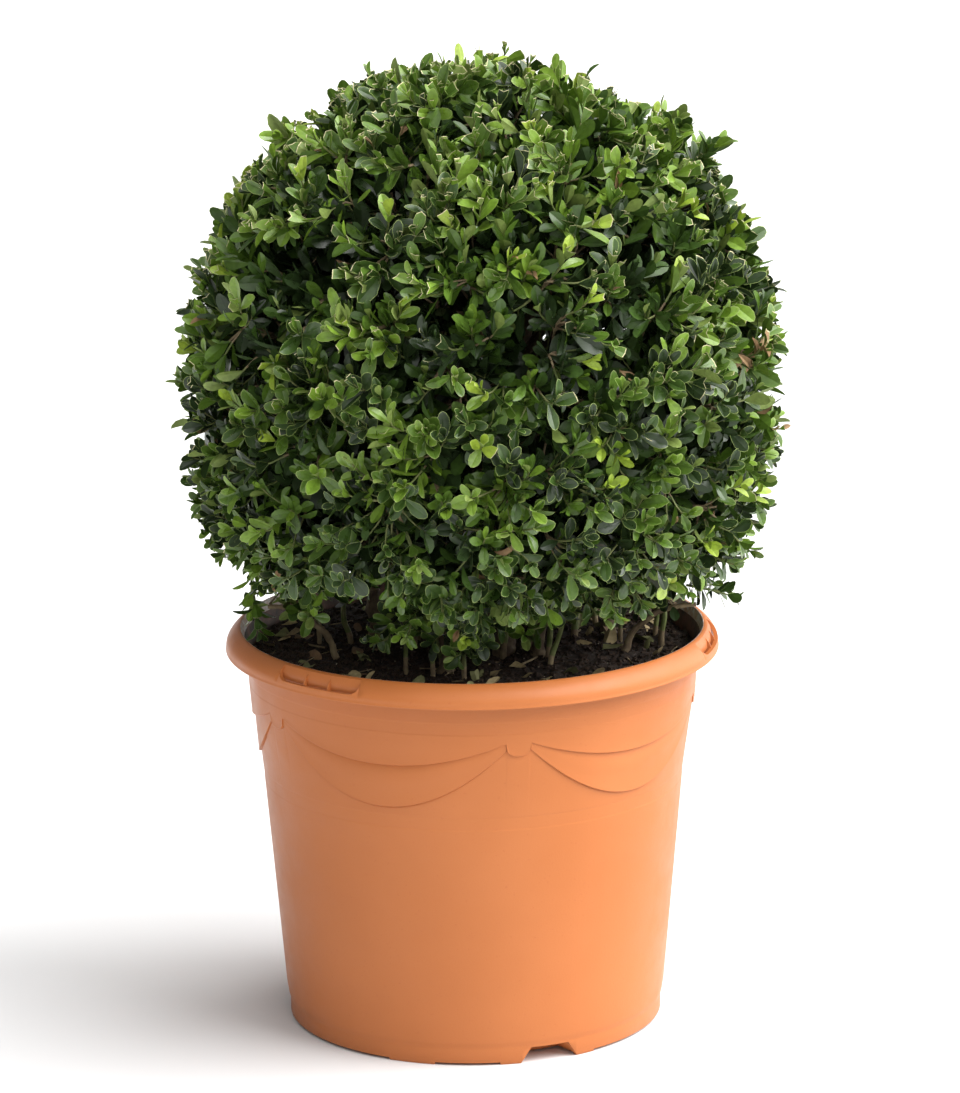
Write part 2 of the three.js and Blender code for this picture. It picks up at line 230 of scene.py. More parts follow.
def noise_node(tree, scale, detail=3.0, rough=0.55, stretch=None):
    """A noise pattern in the object's own metres, as its factor output."""
    place = add_node(tree, "ShaderNodeTexCoord").outputs["Object"]
    if stretch:
        place = add_node(tree, "ShaderNodeMapping", {"Vector": place, "Scale": stretch}).outputs[0]
    inputs = {"Vector": place, "Scale": scale, "Detail": detail, "Roughness": rough}
    return add_node(tree, "ShaderNodeTexNoise", inputs).outputs[0]


def remap(tree, value, low, high, to_low, to_high):
    """A value moved from one range to another, and kept inside it."""
    inputs = {0: value, 1: low, 2: high, 3: to_low, 4: to_high}
    return add_node(tree, "ShaderNodeMapRange", inputs).outputs[0]


def mixed(tree, share, first, second):
    """A colour between two, by a share."""
    node = add_node(tree, "ShaderNodeMix", data_type="RGBA")
    for socket, value in ((node.inputs[0], share), (node.inputs[6], first), (node.inputs[7], second)):
        if isinstance(value, bpy.types.NodeSocket):
            tree.links.new(value, socket)
        else:
            socket.default_value = (*value, 1)
    return node.outputs[2]


def patches(tree, scale, low, high, detail=3.0, rough=0.55, least=0.0, most=1.0):
    """Patches of a noise pattern: least where it is under low, and most where it is over high."""
    return remap(tree, noise_node(tree, scale, detail, rough), low, high, least, most)


def feed(tree, shader, socket, value):
    """Links a value to one of the shader's inputs."""
    tree.links.new(value, shader.inputs[socket])


def add_bump(tree, shader, height, distance, strength=1.0):
    """Fine relief by a height pattern, its distance in metres."""
    inputs = {"Height": height, "Distance": distance, "Strength": strength}
    feed(tree, shader, "Normal", add_node(tree, "ShaderNodeBump", inputs).outputs[0])


def patchy_material(name, color, roughness, patch, colors, relief, stretch=None):
    """Patches of the second of two colours over the first, with fine relief.

    patch has the pattern's scale, detail, low and high. relief has its scale, detail and depth.
    """
    material, tree, shader = new_material(name, color, roughness)
    scale, detail, low, high = patch
    feed(tree, shader, "Base Color", mixed(tree, patches(tree, scale, low, high, detail), *colors))
    scale, detail, depth = relief
    add_bump(tree, shader, noise_node(tree, scale, detail, stretch=stretch), depth)
    return material


def leaf_material(name, color, roughness):
    """A leaf's skin: one base colour with a faint mottle, glossy in patches."""
    material, tree, shader = new_material(name, color, roughness)
    darker = tuple(c * 0.78 for c in color)
    lighter = tuple(c * 1.2 for c in color)
    feed(tree, shader, "Base Color", mixed(tree, patches(tree, 260, 0.3, 0.7), darker, lighter))
    gloss = patches(tree, 90, 0.3, 0.7, least=roughness - 0.07, most=roughness + 0.1)
    feed(tree, shader, "Roughness", gloss)
    return material


def bark_material(name, old, young, roughness=0.75):
    """Bark: a young colour in blotches over an old one, with fine lengthwise relief."""
    blotches, relief = (120, 4, 0.4, 0.62), (900, 4, 0.0006)
    return patchy_material(name, old, roughness, blotches, (old, young), relief, (1, 1, 0.25))


def pot_material():
    """Terracotta-coloured plastic, a little cloudy and finely speckled, with a satin gloss."""
    material, tree, shader = new_material("pot_plastic", (0.48, 0.137, 0.034), 0.42, 1.38)
    base = mixed(tree, patches(tree, 9, 0.35, 0.65), (0.446, 0.138, 0.036), (0.472, 0.151, 0.043))
    base = mixed(tree, patches(tree, 420, 0.66, 0.74, 2, most=0.35), base, (0.385, 0.102, 0.030))
    feed(tree, shader, "Base Color", base)
    feed(tree, shader, "Roughness", patches(tree, 35, 0.3, 0.7, 4, least=0.36, most=0.5))
    add_bump(tree, shader, noise_node(tree, 700, 3), 0.00012, 0.6)
    return material


def painted_highlight_material():
    """The rim's inner edge and the top of the inner wall below it, painted pale in patches: a painted
    highlight where light catches them.
    """
    highlight_patches, relief = (160, 4, 0.4, 0.62), (500, 3, 0.00015)
    colors = (0.56, 0.36, 0.27), (0.80, 0.72, 0.70)
    return patchy_material("pot_plastic_painted_highlight", (0.62, 0.36, 0.25), 0.5, highlight_patches, colors, relief)


def dirty_material():
    """The pot's inside, with dried compost on the plastic."""
    smears, relief = (60, 5, 0.38, 0.62), (300, 4, 0.0004)
    colors = (0.17, 0.07, 0.04), (0.045, 0.026, 0.018)
    return patchy_material("pot_plastic_dirty", (0.35, 0.13, 0.07), 0.6, smears, colors, relief)


def soil_material(name="peat", light=(0.040, 0.024, 0.015), dark=(0.007, 0.0042, 0.003)):
    """Crumbs of a dark and a light colour, with dry flecks. Moist peat unless other colours are given."""
    material, tree, shader = new_material(name, dark, 0.85)
    base = mixed(tree, patches(tree, 330, 0.35, 0.65, 5, 0.7), dark, light)
    base = mixed(tree, patches(tree, 900, 0.68, 0.76, 2, most=0.6), base, (0.14, 0.10, 0.065))
    feed(tree, shader, "Base Color", base)
    feed(tree, shader, "Roughness", patches(tree, 500, 0.4, 0.7, least=0.95, most=0.6))
    add_bump(tree, shader, noise_node(tree, 800, 5, 0.75), 0.0012)
    return material


# ---------------------------------------------------------------- camera, light and floor

CAMERA_PLACE = (0.0, -4.700, 1.566)
CAMERA_PITCH = 0.2448  # down from level, in radians
CAMERA_YAW = 0.0015  # towards +X
CAMERA_ROLL = 0.0092
CAMERA_LENS = 196.4

SUNS = [  # (name, azimuth from the front towards +X, elevation, strength, spread), angles in degrees
    ("key", 72, 44, 3.9, 50),
    ("side", 112, 16, 2.5, 60),
    ("low", 52, 8, 0.7, 70),
    ("front", 0, 40, 0.9, 60),
    ("top", 95, 72, 2.6, 60),
]
WORLD_STRENGTH = 0.24
FLOOR_SIDE, FLOOR_NEAR = 60.0, -20.0  # in metres


def make_camera():
    """The camera, placed and turned as the photo's."""
    data = bpy.data.cameras.new("camera")
    data.lens = CAMERA_LENS
    data.clip_end = 100
    camera = bpy.data.objects.new("camera", data)
    flat, down = math.cos(CAMERA_PITCH), -math.sin(CAMERA_PITCH)
    ahead = Vector((math.sin(CAMERA_YAW) * flat, math.cos(CAMERA_YAW) * flat, down))
    level_right = Vector((math.cos(CAMERA_YAW), -math.sin(CAMERA_YAW), 0))
    level_up = level_right.cross(ahead)
    turn_cos, turn_sin = math.cos(CAMERA_ROLL), math.sin(CAMERA_ROLL)
    right = turn_cos * level_right - turn_sin * level_up
    up = turn_sin * level_right + turn_cos * level_up
    turn = Matrix((right, up, -ahead)).transposed()
    camera.matrix_world = Matrix.Translation(CAMERA_PLACE) @ turn.to_4x4()
    bpy.context.scene.collection.objects.link(camera)
    bpy.context.scene.camera = camera


def add_sun(name, azimuth, elevation, strength, spread):
    """A soft distant light."""
    data = bpy.data.lights.new(name, "SUN")
    data.energy = strength
    data.angle = math.radians(spread)
    light = bpy.data.objects.new(name, data)
    flat, turn = math.cos(math.radians(elevation)), math.radians(azimuth)
    towards = Vector((flat * math.sin(turn), -flat * math.cos(turn), math.sin(math.radians(elevation))))
    light.rotation_mode = "QUATERNION"
    light.rotation_quaternion = towards.to_track_quat("Z", "Y")
    bpy.context.scene.collection.objects.link(light)


def make_world():
    """Even white light from all round."""
    scene = bpy.context.scene
    scene.view_settings.view_transform = "Standard"
    world = bpy.data.worlds.new("studio")
    scene.world = world
    world.use_nodes = True
    background = world.node_tree.nodes["Background"]
    background.inputs["Color"].default_value = (1.0, 1.0, 1.0, 1)
    background.inputs["Strength"].default_value = WORLD_STRENGTH


def make_floor():
    """A wide pale floor, very faintly clouded."""
    mesh = bpy.data.meshes.new("floor")
    side, near = FLOOR_SIDE, FLOOR_NEAR
    corners = [(-side, near, 0), (side, near, 0), (side, side, 0), (-side, side, 0)]
    mesh.from_pydata(corners, [], [(0, 1, 2, 3)])
    floor = bpy.data.objects.new("floor", mesh)
    material, tree, shader = new_material("floor", (0.67, 0.67, 0.67), 1.0)
    cloud = patches(tree, 3, 0.3, 0.7, least=0.665, most=0.68)
    tone = add_node(tree, "ShaderNodeCombineColor", {0: cloud, 1: cloud, 2: cloud}).outputs[0]
    feed(tree, shader, "Base Color", tone)
    mesh.materials.append(material)
    bpy.context.scene.collection.objects.link(floor)


make_camera()
make_world()
for sun in SUNS:
    add_sun(*sun)
make_floor()

# ---------------------------------------------------------------- pot

_, RIM = node_box("pot_lip")
RIM_Z = RIM[2]
BODY_TOP_RADIUS = 180.5
BODY_BASE_RADIUS = 154.5
LIP_BOTTOM = RIM_Z - 18.5
FOOT_TOP = 15.0
FOOT_INSET = 1.7
FLOOR_CLEARANCE = 2.0
WALL = 2.6
RELIEF = 2.2  # one step of the swags
LOW_RING, HIGH_RING = (126.2, 115.0), (44.4, 34.0)  # faint bands: their two edges below the rim
RING_DEPTH = 0.16

SWAG = 72  # degrees from one tab to the next
TAB_ANGLES = [11.5 + SWAG * i for i in range(5)]
TAB_HALF = 3.0  # degrees from its middle, like every half width here
TAB_SHOULDER = 3.3
UPPER_TOP, UPPER_SAG = 52.3, 72.0  # below the rim
LOWER_TOP, LOWER_SAG = 57.6, 108.0
TAB_BOTTOM = 63.0
# Each edge of a step from below it to above: (distance below the edge, height in steps)
LOWER_EDGE = [(1.9, 0), (1.2, 0), (0.7, -0.16), (0.2, -0.16), (-0.05, 0.85), (-0.3, 1.05), (-0.75, 1.07),
              (-1.3, 1)]
UPPER_EDGE_FOOT = [(1.1, 1), (0.6, 0.86), (0.2, 0.86), (-0.05, 1.85)]
UPPER_EDGE_HEAD = [(-0.3, 2.05), (-0.75, 2.07), (-1.4, 2)]

GRIP_ANGLES = [-39, 81, 201]
GRIP_HALF = 12.0
GRIP_CORNER = 2.6
RIB_ANGLE = 3.5
RIB_THICKNESS = 1.2

DRAIN_ANGLES = [23, 143, 263]
DRAIN_HALF_TOP, DRAIN_HALF_BOTTOM = 6.0, 8.8
DRAIN_TOP = 13.0
DRAIN_INNER = 129.0
ROOF_SLOPE = 0.17  # of a drain's roof, down towards the middle
PADS = [(-12.4, 3.2), (12.4, 3.2), (-43.0, 7.3)]  # (degrees from a drain, half width)
CENTRE_PAD = 45.0

COLUMN_STEP = 1.8  # degrees between the pot's even columns
LEAST_STEP = 0.06  # degrees between any two


def from_nearest(angles, centres):
    """How far each angle is from the nearest centre, in degrees, with its sign."""
    gaps = np.asarray(angles)[:, None] - np.asarray(centres)[None]
    gaps = (gaps + 180) % 360 - 180
    nearest = np.abs(gaps).argmin(1)
    return gaps[np.arange(len(gaps)), nearest]


def pot_columns():
    """The angles of the pot's columns: even ones, and more where a detail begins or ends."""
    angles = list(np.arange(0, 360, COLUMN_STEP))
    quarter = np.linspace(0, math.pi / 2, 5)
    details = [
        (TAB_ANGLES, [0, 0.8, 1.5, 2.1, 2.6, 2.9, TAB_HALF, 3.15, TAB_SHOULDER, 3.9]),
        (GRIP_ANGLES, [GRIP_HALF - GRIP_CORNER * (1 - math.sin(t)) for t in quarter]),
        (GRIP_ANGLES, [GRIP_HALF + 0.35]),
        (DRAIN_ANGLES, [DRAIN_HALF_TOP, DRAIN_HALF_BOTTOM, 5.0, 7.4]),
    ]
    for centres, offsets in details:
        for centre in centres:
            angles += [centre + side * offset for offset in offsets for side in (-1, 1)]
    for centre in DRAIN_ANGLES:
        for offset, half in PADS:
            for edge in (half, half + 0.25):
                angles += [centre + offset - edge, centre + offset + edge]
    kept = []
    for angle in sorted(np.round(np.array(angles) % 360, 3)):
        if not kept or angle - kept[-1] > LEAST_STEP:
            kept.append(angle)
    return np.array(kept)


def body_radius(z):
    """The wall's outer radius at a height, without its steps."""
    share = (z - FOOT_TOP) / (LIP_BOTTOM - FOOT_TOP)
    return BODY_BASE_RADIUS + share * (BODY_TOP_RADIUS - BODY_BASE_RADIUS)


def swag_curves(angles):
    """How far below the rim the swags' upper and lower edges are at each angle."""
    off = np.abs(from_nearest(angles, TAB_ANGLES))
    span = np.clip((off - TAB_SHOULDER) / (SWAG / 2 - TAB_SHOULDER), 0, 1)
    drop = 1 - (1 - span) ** 2
    upper = UPPER_TOP + (UPPER_SAG - UPPER_TOP) * drop
    lower_span = np.clip((off - TAB_HALF) / (SWAG / 2 - TAB_HALF), 0, 1)
    lower = LOWER_TOP + (LOWER_SAG - LOWER_TOP) * (1 - (1 - lower_span) ** 2)
    inside = off <= TAB_HALF + 1e-3
    tip = LOWER_TOP + (TAB_BOTTOM - LOWER_TOP) * np.sqrt(np.clip(1 - (off / TAB_HALF) ** 2, 0, 1))
    side = np.clip((off - TAB_HALF) / (TAB_SHOULDER - TAB_HALF), 0, 1)
    on_side = (off > TAB_HALF) & (off < TAB_SHOULDER)
    upper = np.where(on_side, LOWER_TOP + (UPPER_TOP - LOWER_TOP) * side, upper)
    return np.where(inside, tip, upper), np.where(inside, tip, lower)


def relief_share(angles):
    """How much of its full depth a swag's step has: less near the tabs."""
    off = np.abs(from_nearest(angles, TAB_ANGLES))
    return np.interp(off, [TAB_SHOULDER, 12, 28], [0.36, 0.7, 1.0])


def notch_top(angles):
    """The height of the foot's lower edge at each angle: the ground gap, or a drain's roof."""
    off = np.abs(from_nearest(angles, DRAIN_ANGLES))
    share = np.clip((DRAIN_HALF_BOTTOM - off) / (DRAIN_HALF_BOTTOM - DRAIN_HALF_TOP), 0, 1)
    return FLOOR_CLEARANCE + (DRAIN_TOP - FLOOR_CLEARANCE) * share


def in_pad(angles):
    """Whether each angle is at one of the foot's pads."""
    inside = np.zeros(len(angles), bool)
    for centre in DRAIN_ANGLES:
        for offset, half in PADS:
            inside |= np.abs(from_nearest(angles, [centre + offset])) < half + 0.01
    return inside


def underside_rows(angles):
    """Rows of (radius, height) from the middle of the underside to the foot's lower edge."""
    foot = body_radius(FOOT_TOP) - FOOT_INSET
    roof = notch_top(angles)
    pad = np.where(in_pad(angles), 0.0, roof)
    inner_roof = np.maximum(roof - ROOF_SLOPE * (foot - DRAIN_INNER), FLOOR_CLEARANCE)
    level = FLOOR_CLEARANCE
    outer_pad = foot - 0.6
    inner_pad = outer_pad - 5
    return [
        (0.01, 0.0), (CENTRE_PAD - 1, 0.0), (CENTRE_PAD, 0.4), (CENTRE_PAD + 0.4, level),
        (95, level), (DRAIN_INNER - 0.6, level), (DRAIN_INNER, inner_roof),
        (inner_pad - 0.6, roof - ROOF_SLOPE * (foot - inner_pad) * (roof > level)),
        (inner_pad, pad), (outer_pad - 0.5, pad), (outer_pad, np.where(in_pad(angles), 0.5, roof)),
        (foot - 0.3, roof + 0.05), (foot, roof + 0.6),
    ]


def on_step(below, step):
    """A place on the wall, so far below the rim and so many of the swags' steps out."""
    z = RIM_Z - below
    return body_radius(z) + step * RELIEF, z


def ring_rows(low, high, step):
    """A faint band, sunk between two fine edges."""
    sunk = step - RING_DEPTH / RELIEF
    return [on_step(low + 0.8, step), on_step(low, step), on_step(low - 0.5, sunk), on_step(low - 1.2, sunk),
            on_step(high + 1.2, sunk), on_step(high + 0.5, sunk), on_step(high, step),
            on_step(high - 0.8, step)]


def wall_rows(angles):
    """Rows up the outside of the wall, from above the foot's lower edge to under the lip."""
    foot = body_radius(FOOT_TOP) - FOOT_INSET
    shares = np.linspace(0, 1, 6)
    eased = shares * shares * (3 - 2 * shares)
    rows = [(foot + FOOT_INSET * ease, FOOT_TOP - 2 + 8 * share) for share, ease in zip(shares, eased)]
    rows += [(body_radius(z), z) for z in (28.0, 40.0, 75.0, 110.0, 145.0, 175.0, 195.0)]

    upper, lower = swag_curves(angles)
    share_here = relief_share(angles)
    in_tab = np.abs(from_nearest(angles, TAB_ANGLES)) <= TAB_HALF + 1e-3
    upper_share = np.where(in_tab, 2 * share_here, share_here)
    lower_share = np.where(in_tab, 0.0, share_here)

    def by_tab(below, step):
        """A place on the swags' steps: shallower near a tab, and under the tab both are one."""
        return on_step(below, 2 - upper_share * min(1, 2 - step) - lower_share * max(0, 1 - step))

    rows += ring_rows(*LOW_RING, 0)
    first = np.maximum(lower, upper + 2.4)
    raised = 2 - 2 * share_here
    rows += [on_step(first + 0.3 + (113 - first) * share, raised * (1 - share)) for share in (0.66, 0.33)]
    rows += [by_tab(first + below, step) for below, step in LOWER_EDGE]
    rows += [by_tab((first + upper) / 2, 1)]
    rows += [by_tab(upper + below, step) for below, step in UPPER_EDGE_FOOT]
    rows += [on_step(upper + below, step) for below, step in UPPER_EDGE_HEAD]
    above = upper - 1.5
    rows += [on_step(above + (45.4 - above) * share, 2) for share in (0.35, 0.7)]
    rows += ring_rows(*HIGH_RING, 2)
    return rows + [on_step(25.0, 2), on_step(19.6, 2)]


# The lip's two sides as (radius, drop): the outer one up to the top, and the inner one from inside down
LIP_OUTER = [(200.0, 18.5), (200.8, 18.2), (201.0, 17.5), (200.6, 16.9), (200.5, 16.2), (200.6, 14),
             (200.1, 11.4), (199, 9), (197.0, 6.2), (194.6, 3.6), (192.0, 1.5), (190.6, 0.55),
             (189.6, 0.12), (188.7, 0.0)]
LIP_INNER = [(186.0, 18.0), (186.6, 11.5), (187.5, 6.0), (188.3, 3.9), (190.0, 3.5), (192.2, 5.2),
             (194.0, 7.2), (195.8, 9.6), (197.1, 12.4), (197.7, 15.5), (197.8, 18.5)]


def along_profile(profile, shares):
    """(radius, drop) on a profile at shares of its length, one share per column."""
    profile = np.array(profile)
    steps = np.linalg.norm(np.diff(profile, axis=0), axis=1)
    places = np.concatenate([[0], np.cumsum(steps)]) / steps.sum()
    return np.interp(shares, places, profile[:, 0]), np.interp(shares, places, profile[:, 1])


WINDOW_ROWS = 7
CORNER_LIFT = 0.6  # share of its height that a window loses in its lower corners


def window_low(angles):
    """How much of the window's full height there is at each angle: less in its lower corners."""
    off = np.abs(from_nearest(angles, GRIP_ANGLES))
    into = np.clip((GRIP_HALF - off) / GRIP_CORNER, 0, 1)
    corner = 1 - np.sqrt(np.clip(1 - (1 - into) ** 2, 0, 1))
    return 1 - CORNER_LIFT * np.where(off < GRIP_HALF + 0.01, corner, 0)


# The wall behind a window, (radius, drop) from the bottom up to just under the rim's top
SCOOP = [(186.8, 18.0), (191.8, 15.8), (194.9, 11.6), (194.3, 6.0), (191.8, 1.7)]


def scooped(angles, row, radius, drop):
    """One row of the wall under the lip, brought out to the scoop behind each window."""
    inside = np.abs(from_nearest(angles, GRIP_ANGLES)) < GRIP_HALF + 0.01
    return np.where(inside, SCOOP[row][0], radius), np.where(inside, SCOOP[row][1], drop)


def lip_rows(angles):
    """Rows along the lip's underside and over its top, and where the windows' rows begin."""
    full = window_low(angles)
    rows = [scooped(angles, row, *along_profile(LIP_INNER, share))
            for row, share in enumerate((0.0, 0.12, 0.26, 0.37))]
    inner_start = len(rows)
    inner_top, inner_low = 0.41, 0.80
    for share in np.linspace(0, 1, WINDOW_ROWS):
        rows.append(along_profile(LIP_INNER, inner_top + (inner_low - inner_top) * share * full))
    rows[inner_start] = scooped(angles, 4, *rows[inner_start])
    rows += [along_profile(LIP_INNER, share) for share in (0.85, 0.90, 0.95, 0.99)]
    rows.append((LIP_INNER[-1][0] + 0.5, LIP_INNER[-1][1] + 0.15))
    rows.append((LIP_OUTER[0][0] - 0.5, LIP_OUTER[0][1] + 0.15))
    bead_and_side = (0.02, 0.035, 0.055, 0.075, 0.11, 0.17, 0.22)
    rows += [along_profile(LIP_OUTER, share) for share in bead_and_side]
    outer_start = len(rows)
    outer_top, outer_low = 0.865, 0.31
    for share in np.linspace(1, 0, WINDOW_ROWS):
        rows.append(along_profile(LIP_OUTER, outer_top + (outer_low - outer_top) * share * full))
    rows += [along_profile(LIP_OUTER, share) for share in (0.9, 0.94, 0.97, 1.0)]
    rows = [(radius, RIM_Z - drop) for radius, drop in rows]
    return rows, inner_start, outer_start


def inside_rows():
    """Rows down the inside of the wall and in along the floor."""
    rows = [(188.2, RIM_Z - 0.1), (187.9, RIM_Z - 0.6), (187.2, RIM_Z - 2.5), (185.6, RIM_Z - 8)]
    rows += [(184.2, RIM_Z - 14), (183.2, RIM_Z - 18), (182.6, RIM_Z - 22)]
    rows += [(body_radius(z) - WALL + 2 * RELIEF, z) for z in (300.0, 280.0)]
    rows += [(body_radius(z) - WALL, z) for z in (266.0, 150.0, 17.0)]
    return rows + [(105, 6.0), (0.01, 6.0)]


# A rib's crown, (radius, drop), under the lip's outer side
RIB_CONTOUR = np.array([(191.0, 2.9), (192.4, 3.0), (194.0, 4.4), (195.8, 6.6), (197.3, 9.2),
                        (198.0, 11.8), (198.2, 14.6)])


def rib(angle):
    """A thin upright rib across a window, whose top follows the lip."""
    radii, tops = RIB_CONTOUR[:, 0], RIM_Z - RIB_CONTOUR[:, 1]
    low = LIP_BOTTOM + 1.2
    reach = np.degrees(RIB_THICKNESS / 2 / 190)
    points = []
    for side, at_top in ((-1, False), (-1, True), (1, True), (1, False)):
        height = tops - 0.3 if at_top else np.full(len(radii), low)
        points.append(round_z(angle + side * reach, radii, height))
    crown = round_z(angle, radii, tops)
    loop = np.stack([points[0], points[1], crown, points[2], points[3]])
    quads = grid_quads(5, len(radii), False).reshape(-1, 4)
    return loop.reshape(-1, 3), quads, 0


def window_cells(middles, centre):
    """The columns of cells that one window cuts, in their order round the pot."""
    cells = np.where(np.abs(from_nearest(middles, [centre])) < GRIP_HALF)[0]
    half = len(middles) / 2
    if cells[-1] - cells[0] > half:
        cells = np.concatenate([cells[cells > half], cells[cells < half]])
    return cells


def window_sides(ids, inner, outer, columns):
    """Quads through the lip, from a window's outer edge to its inner one.

    Each loop runs along the low edge, up one end, back along the top and down the other end.
    """
    out_low, out_high = outer, outer + WINDOW_ROWS - 1
    in_low, in_high = inner + WINDOW_ROWS - 1, inner
    out_loop = np.concatenate([
        ids[out_low, columns], ids[out_low + 1:out_high, columns[-1]],
        ids[out_high, columns[::-1]], ids[out_high - 1:out_low:-1, columns[0]],
    ])
    in_loop = np.concatenate([
        ids[in_low, columns], ids[in_low - 1:in_high:-1, columns[-1]],
        ids[in_high, columns[::-1]], ids[in_high + 1:in_low, columns[0]],
    ])
    return np.stack([out_loop, in_loop, np.roll(in_loop, -1), np.roll(out_loop, -1)], -1)


# Slots: the plain plastic, the dirty inside, and the pale painted highlight on the rim's inner edge.
PLAIN_SLOT, DIRTY_SLOT, HIGHLIGHT_SLOT = 0, 1, 2


def pot_shape():
    """The whole pot: one sheet of rows and columns, opened at its windows, with the ribs across them."""
    angles = pot_columns()
    under, wall, inside = underside_rows(angles), wall_rows(angles), inside_rows()
    lip, inner_start, outer_start = lip_rows(angles)
    rows = under + wall + lip + inside
    columns = len(angles)
    points = np.stack([round_z(angles, np.broadcast_to(r, columns), np.broadcast_to(z, columns))
                       for r, z in rows])
    quads = grid_quads(len(rows), columns, True)
    slots = np.full(quads.shape[:2], PLAIN_SLOT)
    first_inside = len(rows) - len(inside)
    # Painted highlight: from the rim's top edge down 8 mm inside, the plastic gets the pale material.
    slots[first_inside - 1:first_inside + 3] = HIGHLIGHT_SLOT
    slots[first_inside + 3:] = DIRTY_SLOT
    ids = np.arange(len(rows) * columns).reshape(len(rows), columns)
    inner = len(under) + len(wall) + inner_start
    outer = len(under) + len(wall) + outer_start
    whole = np.ones(quads.shape[:2], bool)
    sides = []
    middles = (angles + np.diff(np.append(angles, angles[0] + 360)) / 2) % 360
    for centre in GRIP_ANGLES:
        cells = window_cells(middles, centre)
        for start in (inner, outer):
            whole[np.ix_(range(start, start + WINDOW_ROWS - 1), cells)] = False
        sides.append(window_sides(ids, inner, outer, np.append(cells, (cells[-1] + 1) % columns)))
    sides = np.concatenate(sides)
    quads = np.concatenate([quads[whole], sides])
    slots = np.append(slots[whole], np.full(len(sides), PLAIN_SLOT))
    body = points.reshape(-1, 3), quads, slots
    ribs = [rib(centre + side * RIB_ANGLE) for centre in GRIP_ANGLES for side in (-1, 1)]
    return joined([body, *ribs])


POT_PLASTIC = pot_material()
POT_DIRTY = dirty_material()
# The pale material is a painted highlight on the rim's inner edge.
POT_PAINTED_HIGHLIGHT = painted_highlight_material()
POT_SKINS = [POT_PLASTIC, POT_DIRTY, POT_PAINTED_HIGHLIGHT]
POT = make_piece("pot", pot_shape(), POT_SKINS, ["pot_body", "pot_lip"])
POT.data.set_sharp_from_angle(angle=math.radians(48))

# ---------------------------------------------------------------- compost

SOIL_Z = node_box("compost")[1][2] - 1.5
SOIL_RADIUS = 181.0
SOIL_COLUMNS, SOIL_ROWS = 320, 130
SOIL_SWELLS = [(3.2, 38, 3), (1.9, 13, 4), (1.4, 6, 5), (0.9, 2.6, 6)]  # (height, width, seed)


def soil_height(points):
    """How far the crumbly surface stands above its mean level."""
    flat = points * [1, 1, 0]
    return sum(height * noise(flat, width, seed) for height, width, seed in SOIL_SWELLS)


def soil_shape():
    """The compost's crumbly top, its sides down the pot's wall, and its underside."""
    angles = np.arange(SOIL_COLUMNS) * 360 / SOIL_COLUMNS
    radii = SOIL_RADIUS * (np.arange(SOIL_ROWS) / (SOIL_ROWS - 1)) ** 0.8
    radii[0] = 0.01
    top = round_z(angles[None], radii[:, None], SOIL_Z)
    top[..., 2] += soil_height(top)
    side = [round_z(angles, body_radius(z) - WALL + out, z)
            for z, out in ((294.0, 2 * RELIEF - 0.6), (262.0, -0.5), (150.0, -0.1), (18.0, -0.1))]
    bottom = round_z(angles, 0.01, 18.0)
    points = np.concatenate([top, np.stack([*side, bottom])])
    return points.reshape(-1, 3), grid_quads(len(points), SOIL_COLUMNS, True).reshape(-1, 4), 0


def on_soil(count, least, most):
    """Random places on the compost between two radii."""
    radius = np.sqrt(RNG.uniform(least**2, most**2, count))
    places = round_z(RNG.uniform(0, 360, count), radius, SOIL_Z)
    places[:, 2] += soil_height(places)
    return places


def random_frames(count, tilt):
    """Three square directions for each of many things that lie about, tipped at random."""
    turn = RNG.uniform(0, 2 * math.pi, count)
    up = unit(np.array([0.0, 0.0, 1.0]) + RNG.normal(0, tilt, (count, 3)))
    along = unit(np.cross(up, np.stack([np.cos(turn), np.sin(turn), 0 * turn], -1)))
    return along, np.cross(up, along), up


def crumbs(count, small, large, flatness):
    """Lumps: each a box of eight corners pushed about at random."""
    corners = np.array([(x, y, z) for z in (-1, 1) for y in (-1, 1) for x in (-1, 1)], float)
    faces = np.array([(0, 2, 3, 1), (4, 5, 7, 6), (0, 1, 5, 4), (2, 6, 7, 3), (0, 4, 6, 2), (1, 3, 7, 5)])
    size = np.exp(RNG.uniform(math.log(small), math.log(large), count))
    shape = corners[None] * RNG.uniform(0.35, 0.8, (count, 8, 1)) * [1.15, 0.85, flatness]
    shape = shape * size[:, None, None]
    along, across, up = random_frames(count, 0.35)
    places = on_soil(count, 4, SOIL_RADIUS - 2)
    axes = enumerate((along, across, up))
    points = places[:, None] + sum(shape[..., i, None] * axis[:, None] for i, axis in axes)
    points[..., 2] += (size * flatness * 0.3)[:, None]
    quads = faces[None] + np.arange(count)[:, None, None] * 8
    return points.reshape(-1, 3), quads.reshape(-1, 4), 0


def twig_bits(count):
    """Short broken twigs lying on the compost."""
    along, _, up = random_frames(count, 0.16)
    length = RNG.uniform(8, 34, count)[:, None, None]
    share = np.linspace(-0.5, 0.5, 5)[None, :, None]
    bow = (0.25 - share**2) * RNG.uniform(-0.3, 0.3, (count, 1, 1)) * length
    places = on_soil(count, 20, SOIL_RADIUS - 10)[:, None]
    paths = places + along[:, None] * share * length + up[:, None] * 1.6
    paths = paths + bow * np.cross(up, along)[:, None]
    return tubes(paths, np.full((count, 5), 0.6) * RNG.uniform(0.6, 1.7, (count, 1)), 5)


PEAT = soil_material()
PERLITE = soil_material("peat_speck", (0.46, 0.40, 0.32), (0.33, 0.27, 0.20))
PEAT_BROWN = soil_material("peat_crumb", (0.052, 0.028, 0.015), (0.015, 0.008, 0.005))
make_piece("compost_surface", joined([soil_shape()]), [PEAT], ["compost"])
for name, crumb, skin in (
    ("compost_crumbs", {"count": 5200, "small": 0.8, "large": 3.6, "flatness": 0.7}, PEAT_BROWN),
    ("compost_specks", {"count": 150, "small": 0.5, "large": 1.3, "flatness": 0.8}, PERLITE),
):
    make_piece(name, joined([crumbs(**crumb)]), [skin], smooth=False)

# ---------------------------------------------------------------- leaves

